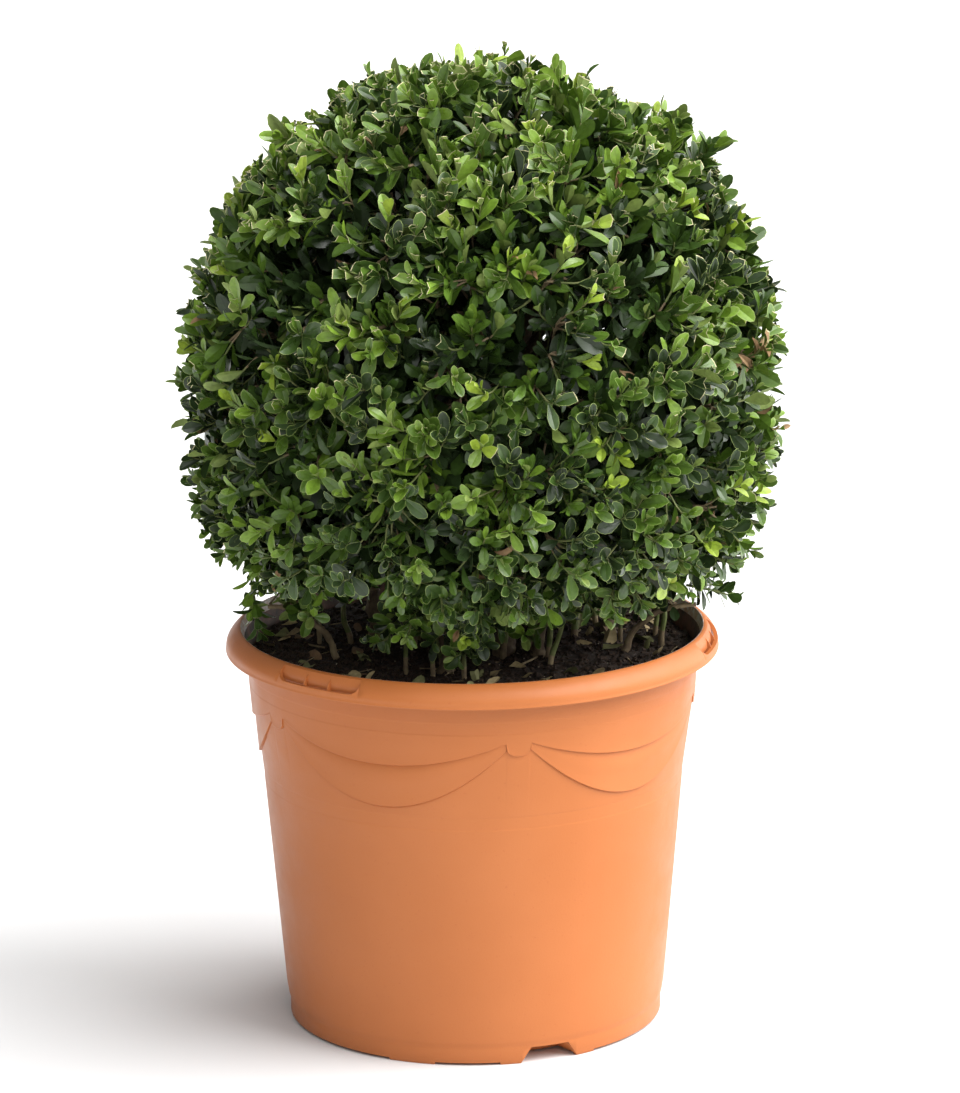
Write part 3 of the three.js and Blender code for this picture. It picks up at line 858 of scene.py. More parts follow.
# A leaf's outline: half its width, as a share of the greatest, at shares of its length
OUTLINE_AT = [0.0, 0.07, 0.30, 0.56, 0.80, 0.95, 1.0]
OUTLINE_WIDE = [0.12, 0.22, 0.64, 1.0, 0.88, 0.44, 0.0]
MIDRIB = [0.0, 0.30, 0.56, 0.80, 1.0]
EDGE = [0.07, 0.30, 0.56, 0.80, 0.95]
INNER_MIDRIB = [0.0, 0.5, 1.0]
INNER_EDGE = [0.10, 0.52, 0.88]
CUT_MIDRIB = [0.0, 0.36, 0.7, 1.0]
CUT_EDGE = [0.07, 0.36, 0.7, 1.0]
MARGIN = 0.30  # width of the pale edge
CUT_BAND = 0.62  # width of the dry edge where the shears cut
RAGGED = 0.09  # how far a cut edge runs out of line, as a share of the leaf's length


def leaf_template(midrib, edge, margin, cut):
    """(side, along, on edge, margin, cut) for each corner, and quads with their slots.

    Slot 0 is the leaf's own colour, slot 1 its margin and slot 2 its cut edge.
    """
    corners, quads, slots = [], [], []
    for side in (-1, 1):
        start = len(corners)
        corners += [(side, share, 0, 0, 0) for share in midrib]
        corners += [(side, share, 1, 0, 0) for share in edge]
        mid = list(range(start, start + len(midrib)))
        rim = list(range(start + len(midrib), len(corners)))
        found = [(mid[i], rim[i], rim[i + 1], mid[i + 1], 0) for i in range(len(midrib) - 1)]
        if margin:
            outer = list(range(len(corners), len(corners) + len(rim)))
            corners += [(side, share, 1, 1, 0) for share in edge]
            found += [(rim[i], outer[i], outer[i + 1], rim[i + 1], 1) for i in range(len(rim) - 1)]
            if not cut:
                corners.append((side, midrib[-1], 0, 1, 0))
                found.append((rim[-1], outer[-1], len(corners) - 1, mid[-1], 1))
        if cut:
            corners += [(side, midrib[-1], 0, 0, 1), (side, edge[-1], 1, 0, 1)]
            found.append((mid[-1], rim[-1], len(corners) - 1, len(corners) - 2, 2))
        for a, b, c, d, slot in found:
            quads.append((a, b, c, d) if side < 0 else (d, c, b, a))
            slots.append(slot)
    return np.array(corners, float), np.array(quads), np.array(slots)


PLAIN_LEAF = leaf_template(MIDRIB, EDGE, False, False)
FINE_LEAF = leaf_template(MIDRIB, EDGE, True, False)
CUT_LEAF = leaf_template(CUT_MIDRIB, CUT_EDGE, True, True)
INNER_LEAF = leaf_template(INNER_MIDRIB, INNER_EDGE, False, False)


def leaf_shapes(template, leaves):
    """Every leaf of one template. leaves has arrays of their places, directions, sizes and so on."""
    corners, quads, slots = template
    side, along, on_edge, margin, cut = corners.T
    along_dir, normal = leaves["along"], leaves["normal"]
    across_dir = np.cross(along_dir, normal)
    length, width = leaves["length"][:, None], leaves["width"][:, None]
    share = along * leaves["reach"][:, None]
    across = np.interp(share, OUTLINE_AT, OUTLINE_WIDE) * on_edge
    x = side * (across * width / 2 + margin * on_edge * MARGIN * leaves["margin"][:, None])
    y = share * length + margin * MARGIN * np.where(along > 0.9, 1.0, 0.0)
    ragged = RNG.uniform(-RAGGED, RAGGED, (len(length), 3)) * length
    ragged = ragged[:, np.where(on_edge > 0, np.where(side < 0, 0, 2), 1)]
    y = y + cut * CUT_BAND + ragged * (along > 0.95) * (leaves["reach"][:, None] < 1)
    flat = y / length
    z = np.abs(x) * leaves["fold"][:, None] - leaves["bend"][:, None] * flat**2 * length
    z = z + leaves["wave"][:, None] * np.sin(along * 5 + side) * across * length - margin * 0.08
    points = leaves["place"][:, None] + x[..., None] * across_dir[:, None]
    points = points + y[..., None] * along_dir[:, None] + z[..., None] * normal[:, None]
    starts = np.arange(len(length))[:, None, None] * len(corners)
    all_quads = (quads[None] + starts).reshape(-1, 4)
    return points.reshape(-1, 3), all_quads, np.tile(slots, len(length))


# ---------------------------------------------------------------- the ball's outline

BALL_LOW, BALL_HIGH = node_box("foliage_ball")
BALL_WIDEST = 560.0
BALL_MIDDLE = np.array([*(BALL_LOW[:2] + BALL_HIGH[:2]) / 2, BALL_WIDEST])
BALL_WIDE = (BALL_HIGH[0] - BALL_LOW[0]) / 2 - 2.5
DOME_TALL = BALL_HIGH[2] - BALL_WIDEST - 5
DOME_POWER = 1.9
SKIRT_TALL = 225.0
SKIRT_POWER = 3.3
BALL_SWELLS = [(5.5, 75, 21), (3.5, 28, 22)]  # (height, width, seed)


def half_outline(heights):
    """How tall and how full the dome or the skirt is, whichever each height above the middle is in."""
    above = heights >= 0
    return np.where(above, DOME_TALL, SKIRT_TALL), np.where(above, DOME_POWER, SKIRT_POWER)


def ball_surface(directions):
    """The clipped surface straight out from the ball's middle."""
    flat = np.hypot(directions[:, 0], directions[:, 1])
    tall, power = half_outline(directions[:, 2])
    share = (flat / BALL_WIDE) ** power + (np.abs(directions[:, 2]) / tall) ** power
    points = directions * (share ** (-1 / power))[:, None]
    swell = sum(height * noise(points, width, seed) for height, width, seed in BALL_SWELLS)
    points = points * (1 + swell[:, None] / BALL_WIDE) + BALL_MIDDLE
    floor = BALL_LOW[2] + 25 + 12 * noise(points * [1, 1, 0], 44, 23)
    points[:, 2] = np.maximum(points[:, 2], floor)
    return points


def ball_normals(points):
    """Outward directions of the ball's surface at points on or in it."""
    off = points - BALL_MIDDLE
    flat = np.maximum(np.hypot(off[:, 0], off[:, 1]), 1e-6)
    tall, power = half_outline(off[:, 2])
    ring = (flat / BALL_WIDE) ** (power - 1) / BALL_WIDE
    lift = (np.abs(off[:, 2]) / tall) ** (power - 1) / tall * np.sign(off[:, 2])
    down = np.clip((BALL_LOW[2] + 24 - points[:, 2]) / 16, 0, 1) * 0.02
    return unit(np.stack([off[:, 0] / flat * ring, off[:, 1] / flat * ring, lift - down], -1))


# Places on the outline where the foliage is thin and twigs show, and where leaves have dried,
# as (degrees from the front, height, radius)
THIN_PLACES = [(-60, 612, 62), (-40, 655, 34), (9, 610, 40), (16, 655, 26), (40, 470, 22), (-20, 470, 20),
               (150, 560, 38), (-130, 610, 30), (100, 540, 28), (205, 480, 34)]
DRY_PLACES = [(-78, 500, 26), (80, 505, 30), (74, 560, 16), (170, 470, 28), (-150, 520, 20)]


def within(points, places):
    """1 in the middle of some places on the outline, and 0 away from all of them."""
    off = points - BALL_MIDDLE
    angle = np.degrees(np.arctan2(off[:, 0], -off[:, 1]))
    found = np.zeros(len(points))
    for centre, height, radius in places:
        aside = np.radians((angle - centre + 180) % 360 - 180) * np.hypot(off[:, 0], off[:, 1])
        gap = np.hypot(aside, points[:, 2] - height) / radius
        found = np.maximum(found, np.clip(1.6 - 1.2 * gap, 0, 1))
    return found


# ---------------------------------------------------------------- limbs

STEMS = [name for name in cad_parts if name.startswith("stem_")]
LOW_BOUGHS = [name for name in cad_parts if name.startswith("bough_")]
SPRIGS = [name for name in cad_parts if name.startswith("sprig_")]
STEM_TOP_Z = 470.0
UP = np.array([0.0, 0.0, 1.0])
TOO_NEAR, TOO_FAR_OUT = 1e9, 1e6  # stand-in distances, longer than any real one


def limb_line(name, start, count):
    """The middle line of a CAD limb and its radius there, from the end that is nearest to start."""
    points = node_points(name)
    foot = points[np.linalg.norm(points - start, axis=1).argsort()[:8]].mean(0)
    away = np.linalg.norm(points - foot, axis=1)
    edges = np.linspace(0, away.max() + 0.01, count)
    line, radii = [foot], []
    for low, high in zip(edges[:-1], edges[1:]):
        band = points[(away >= low) & (away < high)]
        if len(band) < 3:
            continue
        line.append((band.min(0) + band.max(0)) / 2)
        radii.append(np.linalg.norm(band - line[-1], axis=1).min())
    return np.array(line), np.median(radii)


def resampled(line, count):
    """A line with a number of points evenly along it, its corners rounded."""
    for _ in range(3):
        cut = [line[:-1] * 0.75 + line[1:] * 0.25, line[:-1] * 0.25 + line[1:] * 0.75]
        line = np.concatenate([line[:1], np.stack(cut, 1).reshape(-1, 3), line[-1:]])
    gone = np.concatenate([[0], np.cumsum(np.linalg.norm(np.diff(line, axis=0), axis=1))])
    at = np.linspace(0, gone[-1], count)
    return np.stack([np.interp(at, gone, line[:, i]) for i in range(3)], -1)


def limb_end(name, highest):
    """The middle of a CAD stem's highest or lowest end, and its radius there."""
    points = node_points(name)
    z = points[:, 2]
    end = points[z > z.max() - 2.5] if highest else points[z < z.min() + 0.5]
    middle = (end.min(0) + end.max(0)) / 2
    return middle, (np.ptp(end[:, 0]) + np.ptp(end[:, 1])) / 4


def bark_relief(points, wide):
    """Ridges along the limb, knots and small pits, as a distance out from it."""
    ridged = noise(points * [1, 1, 0.25], 2.6, 31) * 0.12 + noise(points * [1, 1, 0.4], 1.3, 32) * 0.07
    knots = np.clip(noise(points, 9, 33) - 0.3, 0, 1) * 0.6
    return (ridged[..., None] + knots[..., None]) * wide


def stem_paths():
    """Paths and radii of the stems, from in the compost to inside the ball."""
    paths, radii = [], []
    for name in STEMS:
        foot, foot_radius = limb_end(name, False)
        top, top_radius = limb_end(name, True)
        lean = top - foot
        height = np.concatenate([np.linspace(-5, 60, 40), np.linspace(66, STEM_TOP_Z - foot[2], 16)])
        reach = np.interp(height, [-10, 8, lean[2], 400], [0, 0, 1, 1 + (400 - lean[2]) / lean[2] * 0.7])
        path = foot + np.stack([lean[0] * reach, lean[1] * reach, height], -1)
        path[:, :2] += 1.8 * np.stack([noise(path, 22, 41), noise(path, 22, 42)], -1)
        bare = foot_radius / 1.7
        taper = np.interp(height, [0, lean[2], STEM_TOP_Z - foot[2]], [bare, top_radius, top_radius * 0.7])
        flare = 0.45 * bare * np.exp(-np.maximum(height, 0) / 4)
        paths.append(path)
        radii.append(taper * 0.92 + flare)
    return np.array(paths), np.array(radii)


def low_bough_paths(steps):
    """Paths and radii of the low boughs, from the compost out to their sprigs."""
    paths, radii = [], []
    for name in LOW_BOUGHS:
        low, high = node_box(name)
        inner_x = low[0] if abs(low[0]) < abs(high[0]) else high[0]
        line, radius = limb_line(name, np.array([inner_x, (low[1] + high[1]) / 2, low[2]]), 9)
        paths.append(resampled(line, steps))
        radii.append(np.linspace(0.95, 0.6, steps) * radius)
    return np.array(paths), np.array(radii)


def nearest_start(targets, points, least, most_out=None):
    """For each target the nearest point at least so far from it, and no further out if that is given."""
    gaps = np.linalg.norm(targets[:, None] - points[None], axis=-1)
    gaps = np.where(gaps < least, TOO_NEAR, gaps)
    if most_out is not None:
        further = np.linalg.norm(points - BALL_MIDDLE, axis=1)[None] > most_out[:, None]
        gaps = gaps + TOO_FAR_OUT * further
    return gaps.argmin(1)


def grow(targets, end_dirs, points, dirs, least, steps, lean_in=0.35, outward=True):
    """Curved limbs from the nearest older limb to each target: their corners, paths and reach."""
    out = np.linalg.norm(targets - BALL_MIDDLE, axis=1) - least * 0.3
    start = nearest_start(targets, points, least, out if outward else None)
    reach = np.linalg.norm(targets - points[start], axis=1)[:, None]
    corners = np.stack([
        points[start],
        points[start] + dirs[start] * reach * lean_in,
        targets - end_dirs * reach * 0.4,
        targets,
    ], 1)
    shares = np.broadcast_to(np.linspace(0, 1, steps), (len(targets), steps))
    paths, _ = bezier(corners, shares)
    return corners, paths, reach[:, 0]


def wobbled(paths, size, seed):
    """Paths with small bends that leave both ends in place."""
    steps = paths.shape[1]
    ease = np.sin(np.linspace(0, math.pi, steps))[None, :, None]
    sway = np.stack([noise(paths, 18, seed + i) for i in range(3)], -1)
    return paths + size * ease * sway


def jittered(directions, amount):
    """Directions turned a little at random."""
    return unit(directions + RNG.normal(0, amount, directions.shape))


def taken(paths, first):
    """The points of some paths from their first so many on, and the directions there."""
    return paths[:, first:].reshape(-1, 3), unit(np.gradient(paths, axis=1))[:, first:].reshape(-1, 3)


def inner_targets(count, share, jitter):
    """Places inside the ball at a share of the way to its surface."""
    surface = ball_surface(jittered(sphere_directions(count), jitter))
    return BALL_MIDDLE + (surface - BALL_MIDDLE) * (share + RNG.uniform(-0.06, 0.06, (count, 1)))


STEM_PATHS, STEM_RADII = stem_paths()
LOW_BOUGH_PATHS, LOW_BOUGH_RADII = low_bough_paths(40)

bough_targets = inner_targets(count=84, share=0.56, jitter=0.12)
bough_dirs = unit(ball_normals(bough_targets) + 0.35 * UP)
_, BOUGH_PATHS, _ = grow(
    bough_targets, bough_dirs, *taken(STEM_PATHS, first=38), least=60, steps=16, lean_in=0.45)
BOUGH_PATHS = wobbled(BOUGH_PATHS, size=5, seed=51)

branch_targets = inner_targets(count=560, share=0.80, jitter=0.06)
branch_dirs = unit(ball_normals(branch_targets) + 0.4 * UP)
_, BRANCH_PATHS, _ = grow(branch_targets, branch_dirs, *taken(BOUGH_PATHS, first=4), least=40, steps=9)
BRANCH_PATHS = wobbled(BRANCH_PATHS, size=4, seed=61)


def young_stem_paths(count):
    """Thin stems that rise from the compost beside the old ones into the ball."""
    feet = STEM_PATHS[RNG.integers(0, len(STEM_PATHS), count), 4]
    feet = feet + np.stack([RNG.normal(0, 24, count), RNG.normal(-8, 20, count), 0 * feet[:, 2]], -1)
    feet[:, 2] = SOIL_Z - 4
    away = unit(feet * [1, 1, 0])
    tops = feet + away * RNG.uniform(-4, 34, (count, 1)) + UP * RNG.uniform(95, 130, (count, 1))
    shares = np.broadcast_to(np.linspace(0, 1, 24), (count, 24))
    middle = feet * 0.6 + tops * 0.4 + RNG.normal(0, 7, feet.shape)
    paths, _ = bezier(np.stack([feet, feet + UP * 30, middle, tops], 1), shares)
    return wobbled(paths, 3, 45)


YOUNG_PATHS = young_stem_paths(22)

# ---------------------------------------------------------------- shoots and their leaves

PAIRS = 5
PAIR_DROPS = np.array([1.0, 6.5, 13.5, 21.5, 30.0])  # of each pair of leaves below the shoot's tip
PAIR_LENGTHS = np.array([[10.5, 15.0, 17.5, 18.0, 17.5], [14.5, 21.5, 24.5, 24.5, 23.0]])  # low, high
PAIR_ANGLES = np.array([[28.0, 44.0, 58.0, 68.0, 76.0], [13.0, 23.0, 33.0, 44.0, 56.0]])  # from the shoot
WIDTH_SHARES = (0.55, 0.42)  # of a leaf's length, low and high

TIP_LENGTH = 6.0  # how much further in the tips are where the leaves are longest
HIGH_SPACING = 0.30  # share of the outer shoots left out of the upper half, where leaves are larger
INNER_SPACING = 0.1  # the same share of the shoots further in
OUTER_WITHIN = 12  # layers that begin nearer the surface than this are outer ones
STRAY_DEPTH = -9.0  # strays count as this far outside, so that none is darkened for its depth
CLIP_DEPTH = 7.0  # how far inside the outline the shears passed, in the upper half
DEEP_FROM = 37.0  # how far in the leaves are of the plainest kind
DEEP_WIDER, DEEP_LONGER = 1.65, 1.15  # shade leaves, larger, so that the ball is nearly closed
FINE_DEPTH = 13.0  # how far in leaves still show their margins
CURLED_LONG, CURLED_WIDE = 0.72, 0.66  # dried leaves, as shares of the size they had


def aims(normals, high):
    """Which way shoots point at their tips: out low down, and more upright the higher they are."""
    lift = np.interp(high, [0, 0.08, 0.25, 0.5, 0.8, 1], [-0.25, 0.2, 0.65, 1.25, 1.5, 1.1])
    return jittered(unit(normals + lift[:, None] * UP), 0.24)


def height_share(points):
    """How high points are in the ball, from 0 at its foot to 1 at its top."""
    return np.clip((points[:, 2] - BALL_LOW[2]) / (BALL_HIGH[2] - BALL_LOW[2]), 0, 1)


def layer(count, least, most, jitter, thin_out):
    """The tips of one layer of shoots, at depths between two, and which way they point."""
    surface = ball_surface(jittered(sphere_directions(count), jitter))
    normals = ball_normals(surface)
    hollows = np.clip(2.4 * noise(surface, 40, 27) - 0.45, 0, 0.9)
    thin = np.maximum(within(surface, THIN_PLACES), hollows)
    spacing = HIGH_SPACING if least < OUTER_WITHIN else INNER_SPACING
    wide_set = np.interp(height_share(surface), [0.15, 0.5], [0.0, spacing])
    kept = RNG.random(count) > np.maximum(thin_out * thin, wide_set)
    depth = RNG.uniform(least, most, count) + 4 * noise(surface, 45, 71) + 16 * thin * thin_out
    depth = depth + np.interp(height_share(surface), [0.1, 0.3, 1], [0, TIP_LENGTH, TIP_LENGTH * 0.8])
    tips = surface - normals * depth[:, None]
    high = height_share(tips)
    return {"tip": tips[kept], "aim": aims(normals, high)[kept], "depth": depth[kept], "high": high[kept]}


def stray(count):
    """Shoots grown since the last clipping, whose tips come near the outline or just past it."""
    surface = ball_surface(jittered(sphere_directions(count), 0.3))
    normals = ball_normals(surface)
    high = height_share(surface)
    kept = RNG.random(count) < np.interp(high, [0, 0.05, 0.3, 0.6, 1], [0.2, 1, 0.75, 0.6, 0.45])
    tips = surface + normals * RNG.uniform(-11, 1, (count, 1))
    depth = np.full(count, STRAY_DEPTH)
    return {"tip": tips[kept], "aim": aims(normals, high)[kept], "depth": depth[kept], "high": high[kept]}


def hanging(count):
    """Shoots under the ball, thickest at its front, between it and the compost."""
    front = RNG.random(count) < 0.3
    side = np.where(front, RNG.normal(-12, 17, count), RNG.uniform(-180, 180, count))
    radius = np.where(front, RNG.uniform(96, 158, count), RNG.uniform(100, 166, count))
    height = np.where(front, RNG.uniform(-20, 12, count), RNG.uniform(4, 24, count)) + BALL_LOW[2]
    tips = round_z(side, radius, height)
    outward = unit(tips * [1, 1, 0])
    aim = jittered(unit(outward + RNG.uniform(-0.5, 0.9, (count, 1)) * UP), 0.3)
    return {"tip": tips, "aim": aim, "depth": np.full(count, 4.0), "high": np.full(count, 0.0)}


def gathered(groups):
    """One dict of arrays from several."""
    return {key: np.concatenate([group[key] for group in groups]) for key in groups[0]}


def leaf_frames(axis, turn, angle):
    """Directions along a leaf and out of its upper side, round a shoot."""
    helper = np.where(np.abs(axis[:, 2:]) > 0.9, [[1.0, 0.0, 0.0]], [[0.0, 0.0, 1.0]])
    first = unit(np.cross(axis, helper))
    second = np.cross(axis, first)
    side = first * np.cos(turn)[:, None] + second * np.sin(turn)[:, None]
    cos, sin = np.cos(angle)[:, None], np.sin(angle)[:, None]
    return axis * cos + side * sin, axis * sin - side * cos


def deal_leaves(corners, reach, high, size):
    """The leaves of many shoots: a dict of arrays, with each leaf's shoot and pair."""
    count = len(corners)
    shares = 1 - PAIR_DROPS[None] * RNG.uniform(0.85, 1.2, (count, 1)) / reach[:, None]
    places, axes = bezier(corners, np.clip(shares, 0.05, 1))
    first_turn = RNG.uniform(0, math.pi, (count, 1))
    turns = first_turn + np.arange(PAIRS)[None] * (math.pi / 2) + RNG.normal(0, 0.16, (count, PAIRS))
    shoot = np.repeat(np.arange(count), PAIRS * 2)
    pair = np.tile(np.repeat(np.arange(PAIRS), 2), count)
    half = np.tile([0, 1], count * PAIRS)
    grown = np.interp(high[shoot], [0.05, 0.6], [0, 1])
    turn = turns[shoot, pair] + math.pi * half
    opened = PAIR_ANGLES[0, pair] * (1 - grown) + PAIR_ANGLES[1, pair] * grown
    angle = np.radians(opened * RNG.uniform(0.72, 1.3, len(pair)))
    along, normal = leaf_frames(axes[shoot, pair], turn, angle)
    twist = RNG.normal(0, 0.22, len(pair))[:, None]
    normal = unit(normal + np.cross(along, normal) * twist)
    length = PAIR_LENGTHS[0, pair] * (1 - grown) + PAIR_LENGTHS[1, pair] * grown
    length = length * size[shoot] * RNG.uniform(0.8, 1.14, len(pair))
    share = WIDTH_SHARES[0] * (1 - grown) + WIDTH_SHARES[1] * grown
    return {
        "place": places[shoot, pair] + along * 0.8,
        "along": along,
        "normal": normal,
        "length": length,
        "width": length * (share + RNG.uniform(-0.05, 0.05, len(pair))),
        "bend": RNG.uniform(-0.12, 0.26, len(pair)),
        "fold": RNG.uniform(0.1, 0.62, len(pair)),
        "wave": RNG.uniform(0, 0.025, len(pair)),
        "margin": RNG.uniform(0.35, 1.25, len(pair)) * (0.55 + 0.45 * grown),
        "reach": np.ones(len(pair)),
        "shoot": shoot,
        "pair": pair,
    }


def chosen(leaves, which):
    """Some of the leaves."""
    return {key: value[which] for key, value in leaves.items()}


def beyond(points):
    """How far points are outside the clipped surface."""
    off = points - BALL_MIDDLE
    return np.linalg.norm(off, axis=1) - np.linalg.norm(ball_surface(unit(off)) - BALL_MIDDLE, axis=1)


def clip(leaves, high):
    """Shortens leaves that pass the clipped surface, more of them the higher they are. Says which."""
    share = high[leaves["shoot"]]
    over = beyond(leaves["place"] + leaves["along"] * leaves["length"][:, None])
    over = over + np.interp(share, [0.3, 0.6], [0, CLIP_DEPTH])
    chance = np.interp(share, [0, 0.25, 0.5, 0.75, 1], [0.0, 0.08, 0.5, 0.82, 0.88])
    cut = (over > 1.5) & (RNG.random(len(over)) < chance)
    reach = 1 - (over + RNG.uniform(-2, 5, len(over))) / leaves["length"]
    leaves["reach"] = np.where(cut, np.clip(reach, 0.42, 0.9), 1)
    return cut


# Tints dealt out by shoot, from dark to bright, and those of new, upturned and dried leaves
TINTS = {
    "dark": ((0.019, 0.036, 0.010), 0.31),
    "deep": ((0.038, 0.076, 0.013), 0.31),
    "mid": ((0.076, 0.142, 0.017), 0.31),
    "bright": ((0.150, 0.250, 0.026), 0.33),
    "young": ((0.265, 0.365, 0.038), 0.37),
    "under": ((0.165, 0.225, 0.050), 0.52),
    "dry": ((0.25, 0.155, 0.075), 0.75),
}
TINT_NAMES = list(TINTS)
TINT_STEPS = (0.13, 0.40, 0.80)  # the lightness of a shoot at which the second, third and fourth begin
YOUNG, UNDER, DRY = (TINT_NAMES.index(name) for name in ("young", "under", "dry"))
MARGIN_SKIN = leaf_material("leaf_margin", (0.29, 0.37, 0.11), 0.5)
CUT_SKIN = leaf_material("leaf_cut", (0.62, 0.57, 0.33), 0.75)


def shoot_tints(shoots):
    """One of the first four tints for each shoot, from a random lightness: brighter high up, as painted
    light from above, and darker further in, as painted shade.
    """
    lightness = RNG.random(len(shoots["high"])) + 0.16 * noise(shoots["tip"], 60, 81)
    # Painted light and shade: higher shoots are made lighter and deeper ones darker.
    lightness = lightness + 0.42 * (shoots["high"] - 0.5) - 0.014 * np.maximum(shoots["depth"], 0)
    return np.searchsorted(TINT_STEPS, lightness, side="right")


def deal_tints(leaves, shoots):
    """A tint for each leaf, by its shoot, its pair and the side of it that shows."""
    count = len(shoots["high"])
    shoot_tint = shoot_tints(shoots)
    tint = shoot_tint[leaves["shoot"]]
    luck = RNG.random(len(tint))
    tint = np.where((leaves["pair"] < 2) & (luck < 0.3), np.minimum(tint + 1, YOUNG - 1), tint)
    growing = RNG.random(count) < np.interp(shoots["high"], [0.15, 0.6], [0.035, 0.15])
    growing = growing & (shoots["depth"] < 20)
    growing = growing[leaves["shoot"]]
    tint = np.where(growing & (leaves["pair"] < 2), YOUNG, tint)
    tint = np.where(growing & (leaves["pair"] == 2), YOUNG - 1, tint)
    outward = unit(leaves["place"] - BALL_MIDDLE)
    turned = (leaves["normal"] * outward).sum(1) < -0.12
    tint = np.where(turned & (tint > 0) & (RNG.random(len(tint)) < 0.6), UNDER, tint)
    dry_luck = RNG.random(len(tint))
    dry = dry_luck < 0.003 + 0.24 * within(leaves["place"], DRY_PLACES)
    return np.where(dry, DRY, tint)


MOST_QUADS = 95000  # in one piece, which keeps its triangles under the limit


def make_leaves(name, parts, skins, replaced=()):
    """Pieces of leaves of one kind, each under the largest size."""
    points, quads, slots = joined(parts)
    pieces = math.ceil(len(quads) / MOST_QUADS)
    for index, some in enumerate(np.array_split(np.arange(len(quads)), pieces)):
        used, where = np.unique(quads[some], return_inverse=True)
        shape = points[used], where.reshape(-1, 4), slots[some]
        suffix = f"_{index + 1}" if pieces > 1 else ""
        make_piece(f"{name}{suffix}", shape, skins, replaced)
        replaced = ()


def make_tinted(name, leaves, tint, kinds, replaced=()):
    """Pieces of leaves, one or more for each tint. kinds are pairs of a template and its leaves."""
    for number, tint_name in enumerate(TINT_NAMES):
        parts = [leaf_shapes(template, chosen(leaves, (tint == number) & which))
                 for template, which in kinds if ((tint == number) & which).any()]
        if parts:
            skins = [SKINS[tint_name], MARGIN_SKIN, CUT_SKIN]
            make_leaves(f"{name}_{tint_name}", parts, skins, replaced)
            replaced = ()


SKINS = {name: leaf_material(f"leaf_{name}", *look) for name, look in TINTS.items()}

OUTER = gathered([layer(count=1620, least=1, most=10, jitter=0.022, thin_out=0.92), stray(count=130)])
MIDDLE = layer(count=1150, least=16, most=40, jitter=0.03, thin_out=0.9)
INNER = layer(count=900, least=38, most=84, jitter=0.05, thin_out=0.5)
BALL_SHOOTS = gathered([OUTER, MIDDLE, INNER])
CORNERS, SHOOT_PATHS, REACH = grow(
    BALL_SHOOTS["tip"], BALL_SHOOTS["aim"], *taken(BRANCH_PATHS, first=2), least=34, steps=6)

HANGING = hanging(count=76)
low_limbs = [
    taken(np.concatenate([YOUNG_PATHS[:, ::2], LOW_BOUGH_PATHS[:, 4:40:3]]), first=5),
    taken(STEM_PATHS, first=22),
    taken(BOUGH_PATHS, first=0),
]
low_points, low_dirs = (np.concatenate(found) for found in zip(*low_limbs))
HANG_CORNERS, HANG_PATHS, HANG_REACH = grow(
    HANGING["tip"], HANGING["aim"], low_points, low_dirs, least=34, steps=6, outward=False)

SHOOTS = gathered([BALL_SHOOTS, HANGING])
CORNERS = np.concatenate([CORNERS, HANG_CORNERS])
SHOOT_PATHS = np.concatenate([SHOOT_PATHS, HANG_PATHS])
REACH = np.concatenate([REACH, HANG_REACH])

LEAVES = deal_leaves(CORNERS, REACH, SHOOTS["high"], RNG.uniform(0.86, 1.12, len(REACH)))
CUT = clip(LEAVES, SHOOTS["high"])
TINT = deal_tints(LEAVES, SHOOTS)
curled = TINT == DRY
LEAVES["bend"] = np.where(curled, RNG.uniform(0.3, 0.9, len(curled)), LEAVES["bend"])
LEAVES["fold"] = np.where(curled, RNG.uniform(0.6, 1.5, len(curled)), LEAVES["fold"])
leaf_depth = SHOOTS["depth"][LEAVES["shoot"]]
is_deep = leaf_depth >= DEEP_FROM
for which, longer, wider in ((curled, CURLED_LONG, CURLED_WIDE), (is_deep, DEEP_LONGER, DEEP_WIDER)):
    LEAVES["length"] = np.where(which, LEAVES["length"] * longer, LEAVES["length"])
    LEAVES["width"] = np.where(which, LEAVES["width"] * wider, LEAVES["width"])
FINE = ~CUT & (leaf_depth < FINE_DEPTH) & (LEAVES["pair"] < PAIRS - 1) & ~curled
DEEP = ~CUT & is_deep
PLAIN = ~CUT & ~FINE & ~DEEP
kinds = [(CUT_LEAF, CUT), (FINE_LEAF, FINE), (INNER_LEAF, DEEP), (PLAIN_LEAF, PLAIN)]
make_tinted("leaves", LEAVES, TINT, kinds, ["foliage_ball"])

# ---------------------------------------------------------------- sprigs that stand out

SPRIG_FORKS = {"sprig_top_left": 1, "sprig_top_right": 2, "sprig_upper_right": 2,
               "sprig_low_left": 3, "sprig_low_right": 3}
FORK_REACH = [1.0, 0.72, 0.5]  # of each shoot along its sprig
FORK_SPREAD = [0.0, 6.0, 8.0]  # of each shoot's tip to one side
SPRIG_STEPS = 8


def sprig_shoots(name):
    """The shoots of one sprig: one along it, and others forked off beside it."""
    line, _ = limb_line(name, BALL_MIDDLE, 9)
    base, tip = line[0], line[-1]
    reach = np.linalg.norm(tip - base)
    axis = (tip - base) / reach
    count = SPRIG_FORKS[name]
    tuft = np.interp(base[2], [400, 700], [8, 20])  # from a shoot's tip to the tips of its leaves
    share, spread = np.array(FORK_REACH)[:count], np.array(FORK_SPREAD)[:count]
    leaning = RNG.normal(0, 1, (count, 3)) + [0, 0.8, 0]
    aside = unit(np.cross(np.broadcast_to(axis, (count, 3)), leaning))
    tips = base + axis * (reach * share - tuft)[:, None] + aside * spread[:, None]
    starts = np.broadcast_to(base - axis * 20, (count, 3))
    aim = unit(axis + aside * 0.3)
    gone = np.linalg.norm(tips - starts, axis=1)[:, None]
    return np.stack([starts, starts + axis * gone * 0.35, tips - aim * gone * 0.35, tips], 1)


